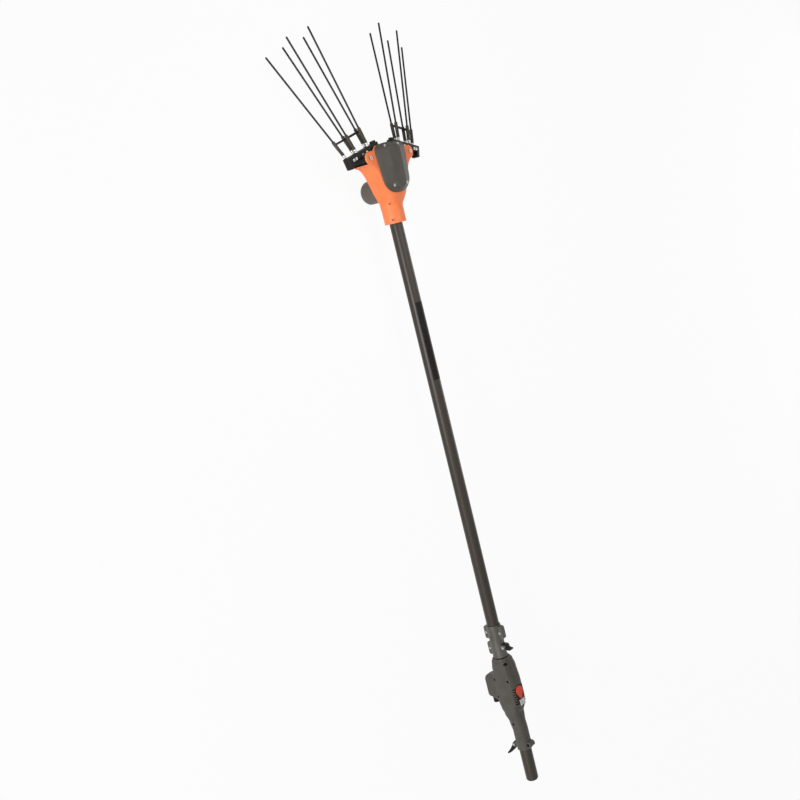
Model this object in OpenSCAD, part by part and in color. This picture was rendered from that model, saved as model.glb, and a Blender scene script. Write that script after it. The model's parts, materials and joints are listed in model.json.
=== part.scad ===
// Battery olive harvester: telescopic pole with a handle at the tail and a head with two beating combs.
// X runs along the pole from the tail tube's end to the combs, Z points to the switch side.

/* [Pole] */
// Outside diameter of the main pole and of the tail tube
pole_d = 35; // [33:0.5:37]
// Wall of the main pole and of the tail tube
pole_wall = 1.75; // [1.5:0.25:2]
// Gap between the main pole's bore and the inner tube, filled by the guide rings
guide_gap = 1.25; // [1:0.05:1.5]
// Wall of the inner tube
inner_wall = 1.5; // [1:0.25:2]
// Length of the main pole that shows between clamp and head
pole_clear = 1142.5; // [900:0.5:1400]
// Length of the inner tube inside the main pole
inner_inside = 640; // [500:1:800]
// Length of the pole's label
label_l = 214; // [120:1:300]
// Arc that the label covers
label_arc = 96; // [60:1:120]

/* [Handle] */
// Length of the tail tube that shows below the handle
tail_out = 95; // [70:1:140]
// Length of the tail tube inside the grip
tail_in = 70; // [56:1:74]
// Height of the grip's axis above the pole's axis
tail_rise = 8.5; // [7:0.5:9]
// Length of the handle
handle_len = 280; // [270:1:310]
// Width of the handle's body
handle_w = 52; // [49:0.5:56]
// Height of the handle's top above the pole's axis
handle_top = 40; // [38:0.5:43]
// Depth of the handle's body below the pole's axis
handle_drop = 31; // [29:0.5:34]
// Diameter of the grip
grip_d = 43; // [42:0.5:46]
// Wall of the handle's shells
shell_wall = 3; // [2.5:0.25:3.5]
// Depth of the controller box's foot below the pole's axis
box_drop = 66; // [62:1:72]
// Width of the controller box
box_w = 42; // [40:1:46]
// Length of the controller box at its foot
box_l = 68; // [60:1:76]
// Outside diameter of the power inlet
inlet_d = 19; // [17:0.5:21]
// Bore of the power inlet
inlet_bore = 15; // [13:0.5:15.5]
// Length of the switch button
button_l = 36; // [33:1:42]
// Width of the switch button
button_w = 28; // [24:1:30]
// Travel of the switch button
button_travel = 2.5; // [1.5:0.25:3]

/* [Clamps] */
// Length of the upper clamp
clamp_len = 94; // [88:1:110]
// Wall of the upper clamp over the main pole
clamp_wall = 2.5; // [2.25:0.25:3.5]
// Height of the screw ears above the clamp's wall
ear_h = 15; // [13:0.5:18]
// Length of the clamp's lever from its pin to its tip
clamp_lever_l = 23; // [20:1:26]
// Length of the tail lever from its pin to its tip
tail_lever_l = 52; // [44:1:56]
// Width of a cam lever
lever_w = 12; // [10:0.5:14]
// Diameter of a cam lever's hub
lever_hub_d = 14; // [12:0.5:15]
// Diameter of a cam lever's pin
lever_pin_d = 5; // [4:0.25:6]

/* [Head] */
// Diameter of the head's collar
collar_d = 58; // [55:0.5:60]
// Length of the head's collar
collar_len = 44; // [38:1:46]
// Height of the head's front face above the pole's axis
head_front = 38; // [36:0.5:42]
// Depth of the head's back face below the pole's axis
head_back = 26; // [25:0.5:29]
// Wall of the head's shells
head_wall = 3.5; // [3:0.25:4]
// Half width of the head at its waist
waist_w = 37; // [36:0.5:40]
// Half width of the head beside the crank gears
hip_w = 50; // [49:0.5:53]
// Distance of the comb pivots from the head's lower end
pivot_x = 168; // [165:0.5:172]
// Distance of a comb pivot from the pole's axis
pivot_y = 78; // [75:0.5:82]
// Radius of the lobes over the comb pivots
lobe_r = 17; // [15:0.5:19]
// Height of the gear cover
cover_rise = 18; // [14:0.5:22]
// Half width of the gear cover at its top edge
cover_w = 57; // [54:0.5:60]
// Diameter of the motor cap
motor_cap_d = 62; // [57:0.5:64]
// Depth of the motor cap's back below the pole's axis
cap_drop = 78; // [74:1:82]
// Diameter of the motor
motor_d = 48; // [42:0.5:49]

/* [Drive] */
// Module of the gears
gear_module = 1; // [0.95:0.01:1.03]
// Teeth on the motor's pinion
pinion_teeth = 12; // [12:1:14]
// Teeth on the idler gear
idler_teeth = 22; // [20:1:23]
// Teeth on each crank gear
crank_teeth = 44; // [42:2:46]
// Width of the gears
gear_t = 8; // [6:0.5:9]
// Throw of the crank pins
crank_throw = 9.5; // [8:0.25:10]
// Diameter of the crank rollers
roller_d = 9; // [8:0.5:10]
// Diameter of the pivot bolts
pivot_d = 8; // [7:0.5:9]

/* [Combs] */
// Turn of a comb bar outwards from square to the pole
bar_turn = 15; // [10:0.5:18]
// Tilt of a comb bar towards the back at its outer end
bar_tilt = 5.5; // [0:0.5:7]
// Height of a comb bar along the pole
bar_h = 16; // [14:0.5:18]
// Thickness of a comb bar from front to back
bar_t = 20; // [18:0.5:21]
// Reach of a comb bar inwards from its pivot
bar_in = 58; // [54:0.5:60]
// Reach of a comb bar outwards from its pivot
bar_out = 58; // [56:0.5:66]
// Diameter of the tines
tine_d = 5; // [4:0.25:6]
// Length of a front tine from the bar
front_len = 326; // [250:1:380]
// Length of a back tine from the bar
back_len = 310; // [240:1:360]
// Lean of the front tines towards the back
front_lean = 6.4; // [4:0.1:7]
// Lean of the back tines towards the back
back_lean = 10.5; // [9:0.1:12]
// Angle of the innermost tines from square to the bar
fan_first = -1.6; // [-3:0.1:2]
// Angle between neighbouring tines
fan_step = 5.95; // [4:0.05:7]
// Diameter of the tine sleeves
sleeve_d = 10; // [8:0.5:10.5]
// Length of the tine sleeves
sleeve_l = 42; // [36:1:56]

/* [Hidden] */
$fn = 64;

// Shared clearances and the overrun of cuts
cut = 1;
seat = 0.05;
run_gap = 0.06;
slide_gap = 0.15;
face_gap = 0.4;

// Places along the pole
x_handle0 = tail_out;
x_handle1 = x_handle0 + handle_len;
handle_gap = 3;
x_clamp0 = x_handle1 + handle_gap;
x_clamp1 = x_clamp0 + clamp_len;
clamp_step = 44;
x_pole0 = x_clamp0 + clamp_step;
collar_drop = 5.5;
x_head = x_clamp1 + pole_clear + collar_drop;
pole_in_head = 66;
x_pole1 = x_head + pole_in_head;

// Tubes
pole_bore = pole_d - 2 * pole_wall;
inner_d = pole_bore - 2 * guide_gap;
x_tail1 = x_handle0 + tail_in;
tube_end_gap = 5;
x_inner0 = x_tail1 + tube_end_gap;
x_inner1 = x_pole0 + inner_inside;
guide_l = 30;
tail_cap_t = 4;
tail_plug_l = 14;
tail_step = 0.75;
tail_slim_d = pole_d - 2 * tail_step;
tail_step_gap = 3;
label_t = 0.3;
label_start = 714;
lead_d = 24;
lead_bore = 14;
lead_end_gap = 0.3;

// Screws: head, shank and socket
screw_d = 4;
screw_head_d = 7.5;
screw_head_t = 3;
screw_socket_d = 3.4;
screw_socket_t = 1.6;

// Smooth forms
ring_sides = 32;
ring_steps = 3;
curve_steps = 6;
arc_steps = 12;
hull_sides = 24;
circle_power = 2;

// Ring across the pole at x: half width w, top zt, bottom zb, squareness n; the phase turns its corners
function ring_x(k, phase) = [for (i = [0 : ring_sides - 1])
    let (a = 360 * (i + phase) / ring_sides, c = cos(a), s = sin(a),
         mid = (k[2] + k[3]) / 2, half = (k[2] - k[3]) / 2)
    [k[0], k[1] * sign(c) * pow(abs(c), 2 / k[4]), mid + half * sign(s) * pow(abs(s), 2 / k[4])]];

// Smooth blend between two keys
function ease(t) = t * t * (3 - 2 * t);
function blend_keys(keys) = concat(
    [for (i = [0 : len(keys) - 2], j = [0 : ring_steps - 1])
        let (t = j / ring_steps, a = keys[i], b = keys[i + 1])
        concat([a[0] + (b[0] - a[0]) * t], [for (m = [1 : len(a) - 1]) a[m] + (b[m] - a[m]) * ease(t)])],
    [keys[len(keys) - 1]]);

// Open curve that starts and ends on its control points
function bend(c) = let (n = len(c)) concat(
    [for (i = [1 : n - 2], j = [0 : curve_steps - 1])
        let (t = j / curve_steps, a = i == 1 ? c[0] : (c[i - 1] + c[i]) / 2,
             b = i == n - 2 ? c[n - 1] : (c[i] + c[i + 1]) / 2)
        (1 - t) * (1 - t) * a + 2 * t * (1 - t) * c[i] + t * t * b],
    [c[n - 1]]);

function arc(centre, r, from, to) = [for (i = [0 : arc_steps])
    let (a = from + (to - from) * i / arc_steps) centre + r * [cos(a), sin(a)]];

function after_first(points) = [for (i = [1 : len(points) - 1]) points[i]];

function flip(points) = [for (i = [len(points) - 1 : -1 : 0]) [points[i][0], -points[i][1]]];

// Solid through rings of equal count
module loft(rings) {
    sides = len(rings[0]);
    last = (len(rings) - 1) * sides;
    polyhedron(
        points = [for (r = rings) each r],
        faces = concat(
            [[for (i = [0 : sides - 1]) i]],
            [[for (i = [sides - 1 : -1 : 0]) last + i]],
            [for (j = [0 : len(rings) - 2], i = [0 : sides - 1])
                let (a = j * sides + i, b = j * sides + (i + 1) % sides) each [[a, a + sides, b],
                    [b, a + sides, b + sides]]]));
}

module rod_x(x0, x1, d) translate([x0, 0, 0]) rotate([0, 90, 0]) cylinder(d = d, h = x1 - x0);
module rod_y(y0, y1, d) translate([0, y0, 0]) rotate([-90, 0, 0]) cylinder(d = d, h = y1 - y0);
module rod_z(z0, z1, d) translate([0, 0, z0]) cylinder(d = d, h = z1 - z0);

module tube_x(x0, x1, d, bore) difference() {
    rod_x(x0, x1, d);
    rod_x(x0 - cut, x1 + cut, bore);
}

// Half space on the +Y side of a plane
big = 4 * (handle_len + pole_clear);
module keep_left(gap) translate([-big / 2, gap / 2, -big / 2]) cube(big);
module on_side(side) mirror([0, side < 0 ? 1 : 0, 0]) children();
module both_sides() {
    children();
    mirror([0, 1, 0]) children();
}

// Socket-head screw along -Z with the underside of its head at zero
module screw(length) {
    difference() {
        cylinder(d = screw_head_d, h = screw_head_t);
        translate([0, 0, screw_head_t - screw_socket_t])
            cylinder(d = screw_socket_d, h = screw_socket_t + cut, $fn = 6);
    }
    translate([0, 0, -length]) cylinder(d = screw_d, h = length);
}
module screw_hole(length) {
    translate([0, 0, -length - seat]) cylinder(d = screw_d + 2 * seat, h = length + cut);
}

// Pole

module main_pole() color("#4a433c") tube_x(x_pole0, x_pole1, pole_d, pole_bore);

module pole_label() color("#17120f")
    translate([x_clamp1 + label_start, 0, 0]) rotate([0, 90, 0])
        rotate([0, 0, 180 - label_arc / 2]) rotate_extrude(angle = label_arc)
            translate([pole_d / 2 + seat, 0]) square([label_t, label_l]);

// Ring in the pole's lower end that the inner tube runs through
module pole_guide() color("#1c1a18")
    tube_x(x_pole0, x_pole0 + guide_l, pole_bore - 2 * seat, inner_d + 2 * slide_gap);

module inner_tube() color("#5c554d") difference() {
    tube_x(x_inner0, x_inner1, inner_d, inner_d - 2 * inner_wall);
    for (p = tube_screws) at_right(p) rod_y(0, handle_w, screw_d + 2 * seat);
}

// Ring on the inner tube's upper end, with a plug that holds the coiled lead
module inner_guide() color("#1c1a18") difference() {
    rod_x(x_inner1 - guide_l, x_inner1 + guide_cap_t, pole_bore - 2 * slide_gap);
    rod_x(x_inner1 - guide_l - cut, x_inner1, inner_d + 2 * seat);
    rod_x(x_inner1 - cut, x_inner1 + guide_cap_t + cut, lead_bore);
}
guide_cap_t = 3;

// Curly lead between the inner tube's end and the head, as one tube of its outer diameter
module coiled_lead() color("#171514")
    tube_x(x_inner1 + guide_cap_t + lead_end_gap, x_pole1, lead_d, lead_bore);

// Tail tube: full size where it shows, a little thinner inside the grip
module at_tail() translate([0, 0, tail_rise]) children();
module tail_tube() color("#4d473f") at_tail() difference() {
    union() {
        rod_x(0, x_handle0 - tail_step_gap, pole_d);
        rod_x(0, x_tail1, tail_slim_d);
    }
    rod_x(-cut, x_tail1 + cut, pole_bore);
}

module tail_cap() color("#2a2622") at_tail() {
    rod_x(-tail_cap_t / 2, 0, tail_slim_d);
    rod_x(-tail_cap_t, -tail_cap_t / 2, pole_d - tail_cap_t);
    rod_x(0, tail_plug_l, pole_bore - 2 * seat);
}

// Cam levers, their pins and brake shoes; the lever stands on +Z with its pin at the local origin

lever_side_gap = 0.5;
lug_t = 5;
lug_d = lever_hub_d - 2 * lever_side_gap;
lever_sink = 1;
clamp_lean = 25;
tail_lean = 50;
lever_mid_share = 0.55;
lever_mid_d = 10;
lever_tip_d = 5;
lever_curl = 4;
lever_inner = lever_w + 2 * lever_side_gap;
lever_outer = lever_inner + 2 * lug_t;
shoe_l = 16;

module lever(length, lean) difference() {
    translate([0, lever_w / 2, 0]) rotate([90, 0, 0]) linear_extrude(lever_w) rotate(90 + lean) {
        circle(d = lever_hub_d);
        hull() {
            circle(d = lever_hub_d);
            translate([lever_mid_share * length, 0]) circle(d = lever_mid_d, $fn = hull_sides);
        }
        hull() {
            translate([lever_mid_share * length, 0]) circle(d = lever_mid_d, $fn = hull_sides);
            translate([length - lever_tip_d / 2, -lever_curl]) circle(d = lever_tip_d, $fn = hull_sides);
        }
    }
    rod_y(-lever_w, lever_w, lever_pin_d + 2 * run_gap);
}

module lever_pin() {
    rod_y(-lever_outer / 2 - lever_pin_d / 2, lever_outer / 2 + lever_pin_d / 4, lever_pin_d);
    translate([0, lever_outer / 2 + seat, 0]) rod_y(0, lever_pin_d / 2, lever_pin_d + lug_t / 2);
}
module lever_pin_hole() rod_y(-lever_outer, lever_outer, lever_pin_d + 2 * seat);
module lever_lugs(depth) both_sides()
    translate([0, lever_inner / 2, 0]) {
        rod_y(0, lug_t, lug_d);
        translate([-lug_d / 2, 0, -depth]) cube([lug_d, lug_t, depth]);
    }
// Room between the lugs for the lever, and the window that the shoe sits in
lever_room_r = lever_hub_d / 2 + lever_side_gap;
module lever_room() translate([-lever_room_r, -lever_inner / 2, -lever_room_r])
    cube([2 * lever_room_r, lever_inner, big]);
module shoe_window(depth) translate([-shoe_l / 2 - seat, -lever_w / 2 - seat, -depth])
    cube([shoe_l + 2 * seat, lever_w + 2 * seat, depth]);
// Brake shoe between the lever's cam and a tube of diameter d
module shoe(depth, d) difference() {
    translate([-shoe_l / 2, -lever_w / 2, -depth])
        cube([shoe_l, lever_w, depth - lever_hub_d / 2 - shoe_gap]);
    translate([0, 0, -depth]) rod_x(-shoe_l, shoe_l, d + 2 * slide_gap);
}
shoe_gap = 0.15;

// Upper clamp

clamp_d = pole_d + 2 * clamp_wall;
ear_t = 8;
ear_r = 7;
clamp_split = 0.6;
clamp_lever_in = 30;
clamp_lever_x = x_clamp0 + clamp_lever_in;
lever_up = clamp_d / 2 + lever_hub_d / 2 - lever_sink;
ear_z = clamp_d / 2 + ear_h - ear_r - screw_head_d / 2;
ear_high_in = 22;
ear_low_in = 24;
x_ear_high = x_clamp1 - ear_high_in;
x_ear_low = x_clamp0 + ear_low_in;
ear_run = 12;
clamp_lip = 5;
clamp_lip_rise = 2;

module at_clamp_lever() translate([clamp_lever_x, 0, lever_up]) children();

// Ear plate with round ends, across the clamp's split
module ear(x, z) {
    for (dx = [-ear_run, ear_run]) translate([x + dx, 0, z]) rod_y(-ear_t, ear_t, 2 * ear_r);
    translate([x - ear_run, -ear_t, min(z, 0) - (z < 0 ? ear_r : 0)])
        cube([2 * ear_run, 2 * ear_t, abs(z) + ear_r]);
    translate([x - ear_run - ear_r, -ear_t, min(z, 0)]) cube([2 * (ear_run + ear_r), 2 * ear_t, abs(z)]);
}
clamp_ears = [[x_ear_high, ear_z], [x_ear_high, -ear_z], [x_ear_low, -ear_z]];

module clamp_solid() difference() {
    union() {
        rod_x(x_clamp0, x_clamp1, clamp_d);
        rod_x(x_clamp1 - 2 * clamp_lip, x_clamp1 - clamp_lip, clamp_d + clamp_lip_rise);
        rod_x(x_clamp0, x_clamp0 + clamp_lip, clamp_d + clamp_lip_rise);
        for (e = clamp_ears) ear(e[0], e[1]);
        at_clamp_lever() lever_lugs(lever_up);
    }
    rod_x(x_pole0, x_clamp1 + cut, pole_d + 2 * seat);
    rod_x(x_clamp0 - cut, x_pole0 + cut, inner_d + 2 * slide_gap);
    at_clamp_lever() {
        lever_room();
        shoe_window(lever_up);
        lever_pin_hole();
    }
    for (e = clamp_ears) translate([e[0], 0, e[1]]) {
        rod_y(-big, big, screw_d + 2 * seat);
        rod_y(ear_t - screw_head_t / 2, big, screw_head_d + 2 * seat);
    }
}
module clamp_half(side) intersection() {
    clamp_solid();
    on_side(side) keep_left(clamp_split);
}
module clamp_left_half() color("#716d66") clamp_half(1);
module clamp_right_half() color("#6b6760") clamp_half(-1);
module clamp_screws() color("#d8d6d2")
    for (e = clamp_ears) translate([e[0], ear_t - screw_head_t / 2, e[1]])
        rotate([-90, 0, 0]) screw(2 * ear_t - screw_head_t);
module clamp_lever_pin() color("#c9c6c0") at_clamp_lever() lever_pin();
module clamp_shoe() color("#262321") at_clamp_lever() shoe(lever_up, inner_d);
module clamp_lever() color("#1d1a18") at_clamp_lever() lever(clamp_lever_l, clamp_lean);

// Handle

grip_r = grip_d / 2;
tail_lever_in = 10;
tail_lever_x = x_handle0 + tail_lever_in;
tail_lever_down = grip_r + lever_hub_d / 2 - lever_sink;
// Along the handle, then shares of the half width, of the top and of the drop, and the squareness
body_shares = [
    [0.393, 0.90, 0.675, 0.82, 2.7],
    [0.464, 0.96, 0.82, 0.97, 3.4],
    [0.518, 0.985, 0.95, 1, 4.4],
    [0.596, 1, 1, 1, 5],
    [0.732, 1, 0.96, 0.97, 5],
    [0.893, 0.98, 0.83, 0.87, 4.2],
    [0.968, 0.94, 0.71, 0.81, 3.4],
    [1, 0.86, 0.61, 0.72, 2.7]];
grip_shares = [0, 0.06, 0.2];
// Where the grip meets the body: along the handle, then shares of the grip's radius
grip_end_shares = [0.304, 1.01, 0.93, 0.86];
grip_keys = concat(
    [for (s = grip_shares)
        [x_handle0 + s * handle_len, grip_r, tail_rise + grip_r, tail_rise - grip_r, circle_power]],
    [[x_handle0 + grip_end_shares[0] * handle_len, grip_end_shares[1] * grip_r,
        tail_rise + grip_end_shares[2] * grip_r, -grip_end_shares[3] * grip_r, circle_power]]);
function body_key(k, wall) = [x_handle0 + k[0] * handle_len, k[1] * handle_w / 2 - wall,
    k[2] * handle_top - wall, -k[3] * handle_drop + wall, k[4]];
handle_keys = concat(grip_keys, [for (k = body_shares) body_key(k, 0)]);
// The hollow runs from the grip's end to the top wall
hollow_keys = [for (i = [0 : len(body_shares) - 2]) body_key(body_shares[i], shell_wall)];

// Controller box below the body: rounded slabs at its foot and a wider one inside the body
box_r = 13;
box_edge = 11;
box_edge_shares = [[0, 1], [0.3, 0.3], [1, 0]];
box_mid_share = 0.675;
box_mid = x_handle0 + box_mid_share * handle_len;
box_flare = 13;
box_root_share = 0.8;
box_root = handle_drop * box_root_share;
module box_corners(r, w, l, foot, root) hull() for (sx = [-1, 1], sy = [-1, 1]) {
    for (e = box_edge_shares)
        translate([box_mid + sx * (l / 2 - r), sy * (w / 2 - r), -foot + e[1] * box_edge])
            cylinder(r = r - e[0] * box_edge, h = seat, $fn = hull_sides);
    translate([box_mid + sx * (l / 2 + box_flare - r), sy * (w / 2 - r), -root])
        cylinder(r = r, h = seat, $fn = hull_sides);
}
box_foot_wall = 3;

boss_d = 17;
boss_up = 1.5;
boss_z = tail_rise + grip_r + boss_up;
boss_y = 11;
boss_in = 14;
boss_x = x_handle0 + boss_in;

// Screws across the shells: place along the handle and height, in shares of the length and of the top
through_shares = [[0.95, 0.63], [0.774, 0.63], [0.774, -0.57], [0.586, -0.6]];
tube_share = [0.87, 0];
grip_share = [0.29, 0.12];
function side_place(s) = [x_handle0 + s[0] * handle_len, s[1] * handle_top];
through_screws = concat([for (s = through_shares) side_place(s)], [[boss_x, boss_z]]);
tube_screws = [side_place(tube_share)];
grip_screws = [side_place(grip_share)];
module at_left(p) translate([p[0], 0, p[1]]) children();
module at_right(p) mirror([0, 1, 0]) at_left(p) children();
// Depth of the screw heads and of the screws' ends from the middle, in shares of the handle's width
through_head_shares = [0.3, 0.4, 0.36, 0.36];
through_tip_share = 0.28;
tube_head_share = 0.41;
grip_head_share = 0.41;
through_head_y = concat([for (s = through_head_shares) s * handle_w], [boss_y - screw_head_t / 2]);
through_tip_y = concat(
    [for (s = through_head_shares) through_tip_share * handle_w],
    [boss_y - screw_head_t / 2]);
tube_head_y = tube_head_share * handle_w;
grip_head_y = grip_head_share * grip_d;
grip_screw_l = 3;
pillar_d = 9;
through_l = through_head_y + through_tip_y;

// Vent slots on the shoulders beside the switch
vent_count = 7;
vent_w = 3;
vent_l = 8;
vent_deep = 7;
vent_pitch = 7.4;
vent_tilt = 34;
vent_start_share = 0.52;
vent_side_share = 0.41;
vent_up_share = 0.9;
vent_x0 = x_handle0 + vent_start_share * handle_len;

module handle_body() {
    loft([for (k = blend_keys(handle_keys)) ring_x(k, 0)]);
    box_corners(box_r, box_w, box_l, box_drop, box_root);
    translate([boss_x, 0, boss_z]) rod_y(-boss_y, boss_y, boss_d);
    translate([boss_x - boss_d / 2, -boss_y, 0]) cube([boss_d, 2 * boss_y, boss_z]);
    at_tail_lever() lever_lugs(tail_lever_down);
}
module at_tail_lever() translate([tail_lever_x, 0, tail_rise - tail_lever_down]) mirror([0, 0, 1]) children();

module handle_solid() difference() {
    handle_body();
    difference() {
        union() {
            loft([for (k = hollow_keys) ring_x(k, 0)]);
            box_corners(box_r - box_foot_wall / 2, box_w - 2 * shell_wall, box_l - 2 * shell_wall,
                box_drop - box_foot_wall, box_root);
        }
        for (p = concat(through_screws, tube_screws)) at_left(p) rod_y(-handle_w, handle_w, pillar_d);
    }
    at_tail() rod_x(-cut, x_tail1 + tube_end_gap, tail_slim_d + 2 * slide_gap);
    rod_x(x_inner0 - tube_end_gap, x_handle1 + cut, inner_d + 2 * seat);
    at_tail_lever() {
        lever_room();
        shoe_window(tail_lever_down);
        lever_pin_hole();
    }
    handle_screw_cuts();
    switch_cut(seat);
    both_sides() for (i = [0 : vent_count - 1])
        translate([vent_x0 + i * vent_pitch, vent_side_share * handle_w, vent_up_share * handle_top])
            rotate([vent_tilt, 0, 0]) cube([vent_w, vent_deep, vent_l], center = true);
    inlet_cut();
}
module handle_screw_cuts() {
    for (i = [0 : len(through_screws) - 1]) at_left(through_screws[i]) {
        translate([0, through_head_y[i], 0]) rotate([-90, 0, 0]) screw_hole(through_l[i]);
        rod_y(through_head_y[i], handle_w, screw_head_d + 2 * seat);
    }
    for (p = tube_screws) at_right(p) {
        rod_y(0, handle_w, screw_d + 2 * seat);
        rod_y(tube_head_y, handle_w, screw_head_d + 2 * seat);
    }
    for (p = grip_screws) at_left(p) {
        rod_y(grip_head_y - grip_screw_l - seat, handle_w, screw_d + 2 * seat);
        rod_y(grip_head_y, handle_w, screw_head_d + 2 * seat);
    }
}
module handle_half(side) intersection() {
    handle_solid();
    on_side(side) keep_left(0);
}
module handle_left_shell() color("#575250") handle_half(1);
module handle_right_shell() color("#534e4c") handle_half(-1);
module handle_screws() color("#5b5753") {
    for (i = [0 : len(through_screws) - 1]) at_left(through_screws[i])
        translate([0, through_head_y[i], 0]) rotate([-90, 0, 0]) screw(through_l[i] - screw_d / 2);
    for (p = tube_screws) at_right(p)
        translate([0, tube_head_y, 0]) rotate([-90, 0, 0]) screw(tube_head_y - inner_d / 2 + inner_wall);
    for (p = grip_screws) at_left(p)
        translate([0, grip_head_y, 0]) rotate([-90, 0, 0]) screw(grip_screw_l);
}

// Switch on the handle's top: a black panel, a red button and a light window

panel_share = 0.593;
panel_x = x_handle0 + panel_share * handle_len;
panel_tilt = 5;
panel_ends = 28;
panel_rim = 3.5;
panel_l = button_l + panel_ends;
panel_w = button_w + 2 * panel_rim;
panel_t = 3;
panel_rise = 2;
panel_sink = 3.2;
panel_z = handle_top - panel_sink;
panel_tail_share = 0.72;
panel_tail_d = panel_tail_share * panel_w;
button_shift = 9;
button_rise = 4.5;
button_gap = 0.4;
window_l = 17;
window_w = 22;
window_t = 1.6;
window_share = 0.11;
window_x = -panel_l / 2 + window_share * panel_w;
window_z = panel_rise - window_t / 2;
module at_panel() translate([panel_x, 0, panel_z]) rotate([0, panel_tilt, 0]) children();

// Teardrop with its wide end towards the head
module drop_shape(l, w) hull() {
    translate([l / 2 - w / 2, 0]) circle(d = w);
    translate([-l / 2 + w / 4, 0]) circle(d = w / 2);
}
module panel_shape(grow) hull() {
    translate([panel_l / 2 - panel_w / 2, 0]) circle(d = panel_w + 2 * grow);
    translate([(panel_tail_d - panel_l) / 2, 0]) circle(d = panel_tail_d + 2 * grow);
}
module switch_cut(grow) at_panel() translate([0, 0, -panel_t]) linear_extrude(handle_top) panel_shape(grow);

module switch_panel() color("#141110") at_panel() difference() {
    translate([0, 0, -panel_t]) linear_extrude(panel_t + panel_rise) panel_shape(0);
    translate([button_shift, 0, -panel_t - cut]) linear_extrude(handle_top)
        drop_shape(button_l + 2 * button_gap, button_w + 2 * button_gap);
    translate([window_x, -window_w / 2, window_z]) cube([window_l, window_w, handle_top]);
}
module status_window() color("#dddbd8") at_panel()
    translate([window_x + seat, -window_w / 2 + seat, window_z])
        cube([window_l - 2 * seat, window_w - 2 * seat, window_t]);

// Button: cap through the panel with a crowned top and a stem down to the switch
button_crown = 1.5;
stem_d = 8;
module switch_button() color("#e8492f") at_panel() translate([button_shift, 0, 0]) {
    translate([0, 0, -button_skirt]) linear_extrude(button_skirt + button_rise - button_crown)
        drop_shape(button_l, button_w);
    hull() {
        translate([0, 0, button_rise - button_crown - seat]) linear_extrude(seat)
            drop_shape(button_l, button_w, $fn = hull_sides);
        translate([0, 0, button_rise - seat]) linear_extrude(seat)
            drop_shape(button_l - 4 * button_crown, button_w - 4 * button_crown, $fn = hull_sides);
    }
    translate([0, 0, -button_skirt - stem_l]) cylinder(d = stem_d, h = stem_l + seat);
}
button_skirt = 2;
stem_l = 8;
switch_l = 22;
switch_w = 15;
// Switch body seated on the inner tube under the button, with a well for the stem and its spring
module switch_body() color("#22201e") difference() {
    translate([panel_x + button_shift - switch_l / 2, -switch_w / 2, 0])
        cube([switch_l, switch_w, switch_top]);
    rod_x(0, x_handle1, inner_d + 2 * seat);
    at_panel() translate([button_shift, 0, -well_z]) cylinder(d = stem_d + 2 * slide_gap, h = 2 * handle_top);
}
switch_gap = 2;
switch_top = panel_z - panel_t - button_skirt - button_travel - switch_gap;
spring_l = 7;
spring_side = 0.5;
spring_wire = 1;
spring_d = stem_d - 2 * spring_side;
well_z = button_skirt + stem_l + spring_l + 2 * seat;
module button_spring() color("#c8c6c2") at_panel() translate([button_shift, 0, 0]) {
    difference() {
        translate([0, 0, seat - well_z]) cylinder(d = spring_d, h = spring_l);
        translate([0, 0, -handle_top]) cylinder(d = spring_d - 2 * spring_wire, h = 2 * handle_top);
    }
}

// Controller board in the box, and the power inlet on the box's tail side

board_t = 1.6;
board_end = 10;
board_side = 7;
board_stand = 6;
board_l = box_l - 2 * board_end;
board_w = box_w - 2 * board_side;
board_z = box_drop - box_foot_wall - board_stand;
stand_x = 14;
stand_y = 4.5;
chip_h = 7;
module controller_board() color("#2d5a3a") {
    translate([box_mid - board_l / 2, -board_w / 2, -board_z]) cube([board_l, board_w, board_t]);
    for (sx = [-1, 1]) translate([box_mid + sx * board_l / 4 - chip_h, -board_w / 4, -board_z + board_t])
        cube([2 * chip_h, board_w / 2, chip_h]);
    for (sx = [-1, 1], sy = [-1, 1])
        translate([box_mid + sx * stand_x, sy * stand_y, 0])
            rod_z(-box_drop + box_foot_wall, -board_z, screw_d);
}

inlet_up = 13;
inlet_lead = 4;
inlet_out = 15;
inlet_in = 8;
inlet_z = inlet_up - box_drop;
inlet_wall_x = box_mid - box_l / 2 - inlet_lead;
inlet_x0 = inlet_wall_x - inlet_out;
inlet_x1 = inlet_wall_x + inlet_in;
inlet_depth = 9;
inlet_pocket = 6;
inlet_step = 1;
inlet_pocket_d = inlet_bore - 2 * inlet_step;
contact_d = 2.4;
contact_y = 3;
module inlet_cut() translate([0, 0, inlet_z])
    rod_x(inlet_wall_x - box_flare, inlet_x1 + cut, inlet_d + 2 * seat);
module power_inlet() color("#1b1918") translate([0, 0, inlet_z]) difference() {
    rod_x(inlet_x0, inlet_x1, inlet_d);
    rod_x(inlet_x0 - cut, inlet_x0 + inlet_depth, inlet_bore);
    rod_x(inlet_x0 + inlet_depth - cut, inlet_x0 + inlet_depth + inlet_pocket, inlet_pocket_d);
    both_sides() translate([0, contact_y, 0]) rod_x(inlet_x0, inlet_x1 + cut, contact_d + 2 * seat);
}
module inlet_contacts() color("#c9a84f") translate([0, 0, inlet_z])
    both_sides() translate([0, contact_y, 0])
        rod_x(inlet_x0 + inlet_depth + inlet_pocket / 3, inlet_x1 + inlet_pocket, contact_d);

module tail_lever_pin() color("#c9c6c0") at_tail_lever() lever_pin();
module tail_shoe() color("#262321") at_tail_lever() shoe(tail_lever_down, tail_slim_d);
module tail_lever() color("#1d1a18") at_tail_lever() lever(tail_lever_l, tail_lean);

// Head shells

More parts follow.
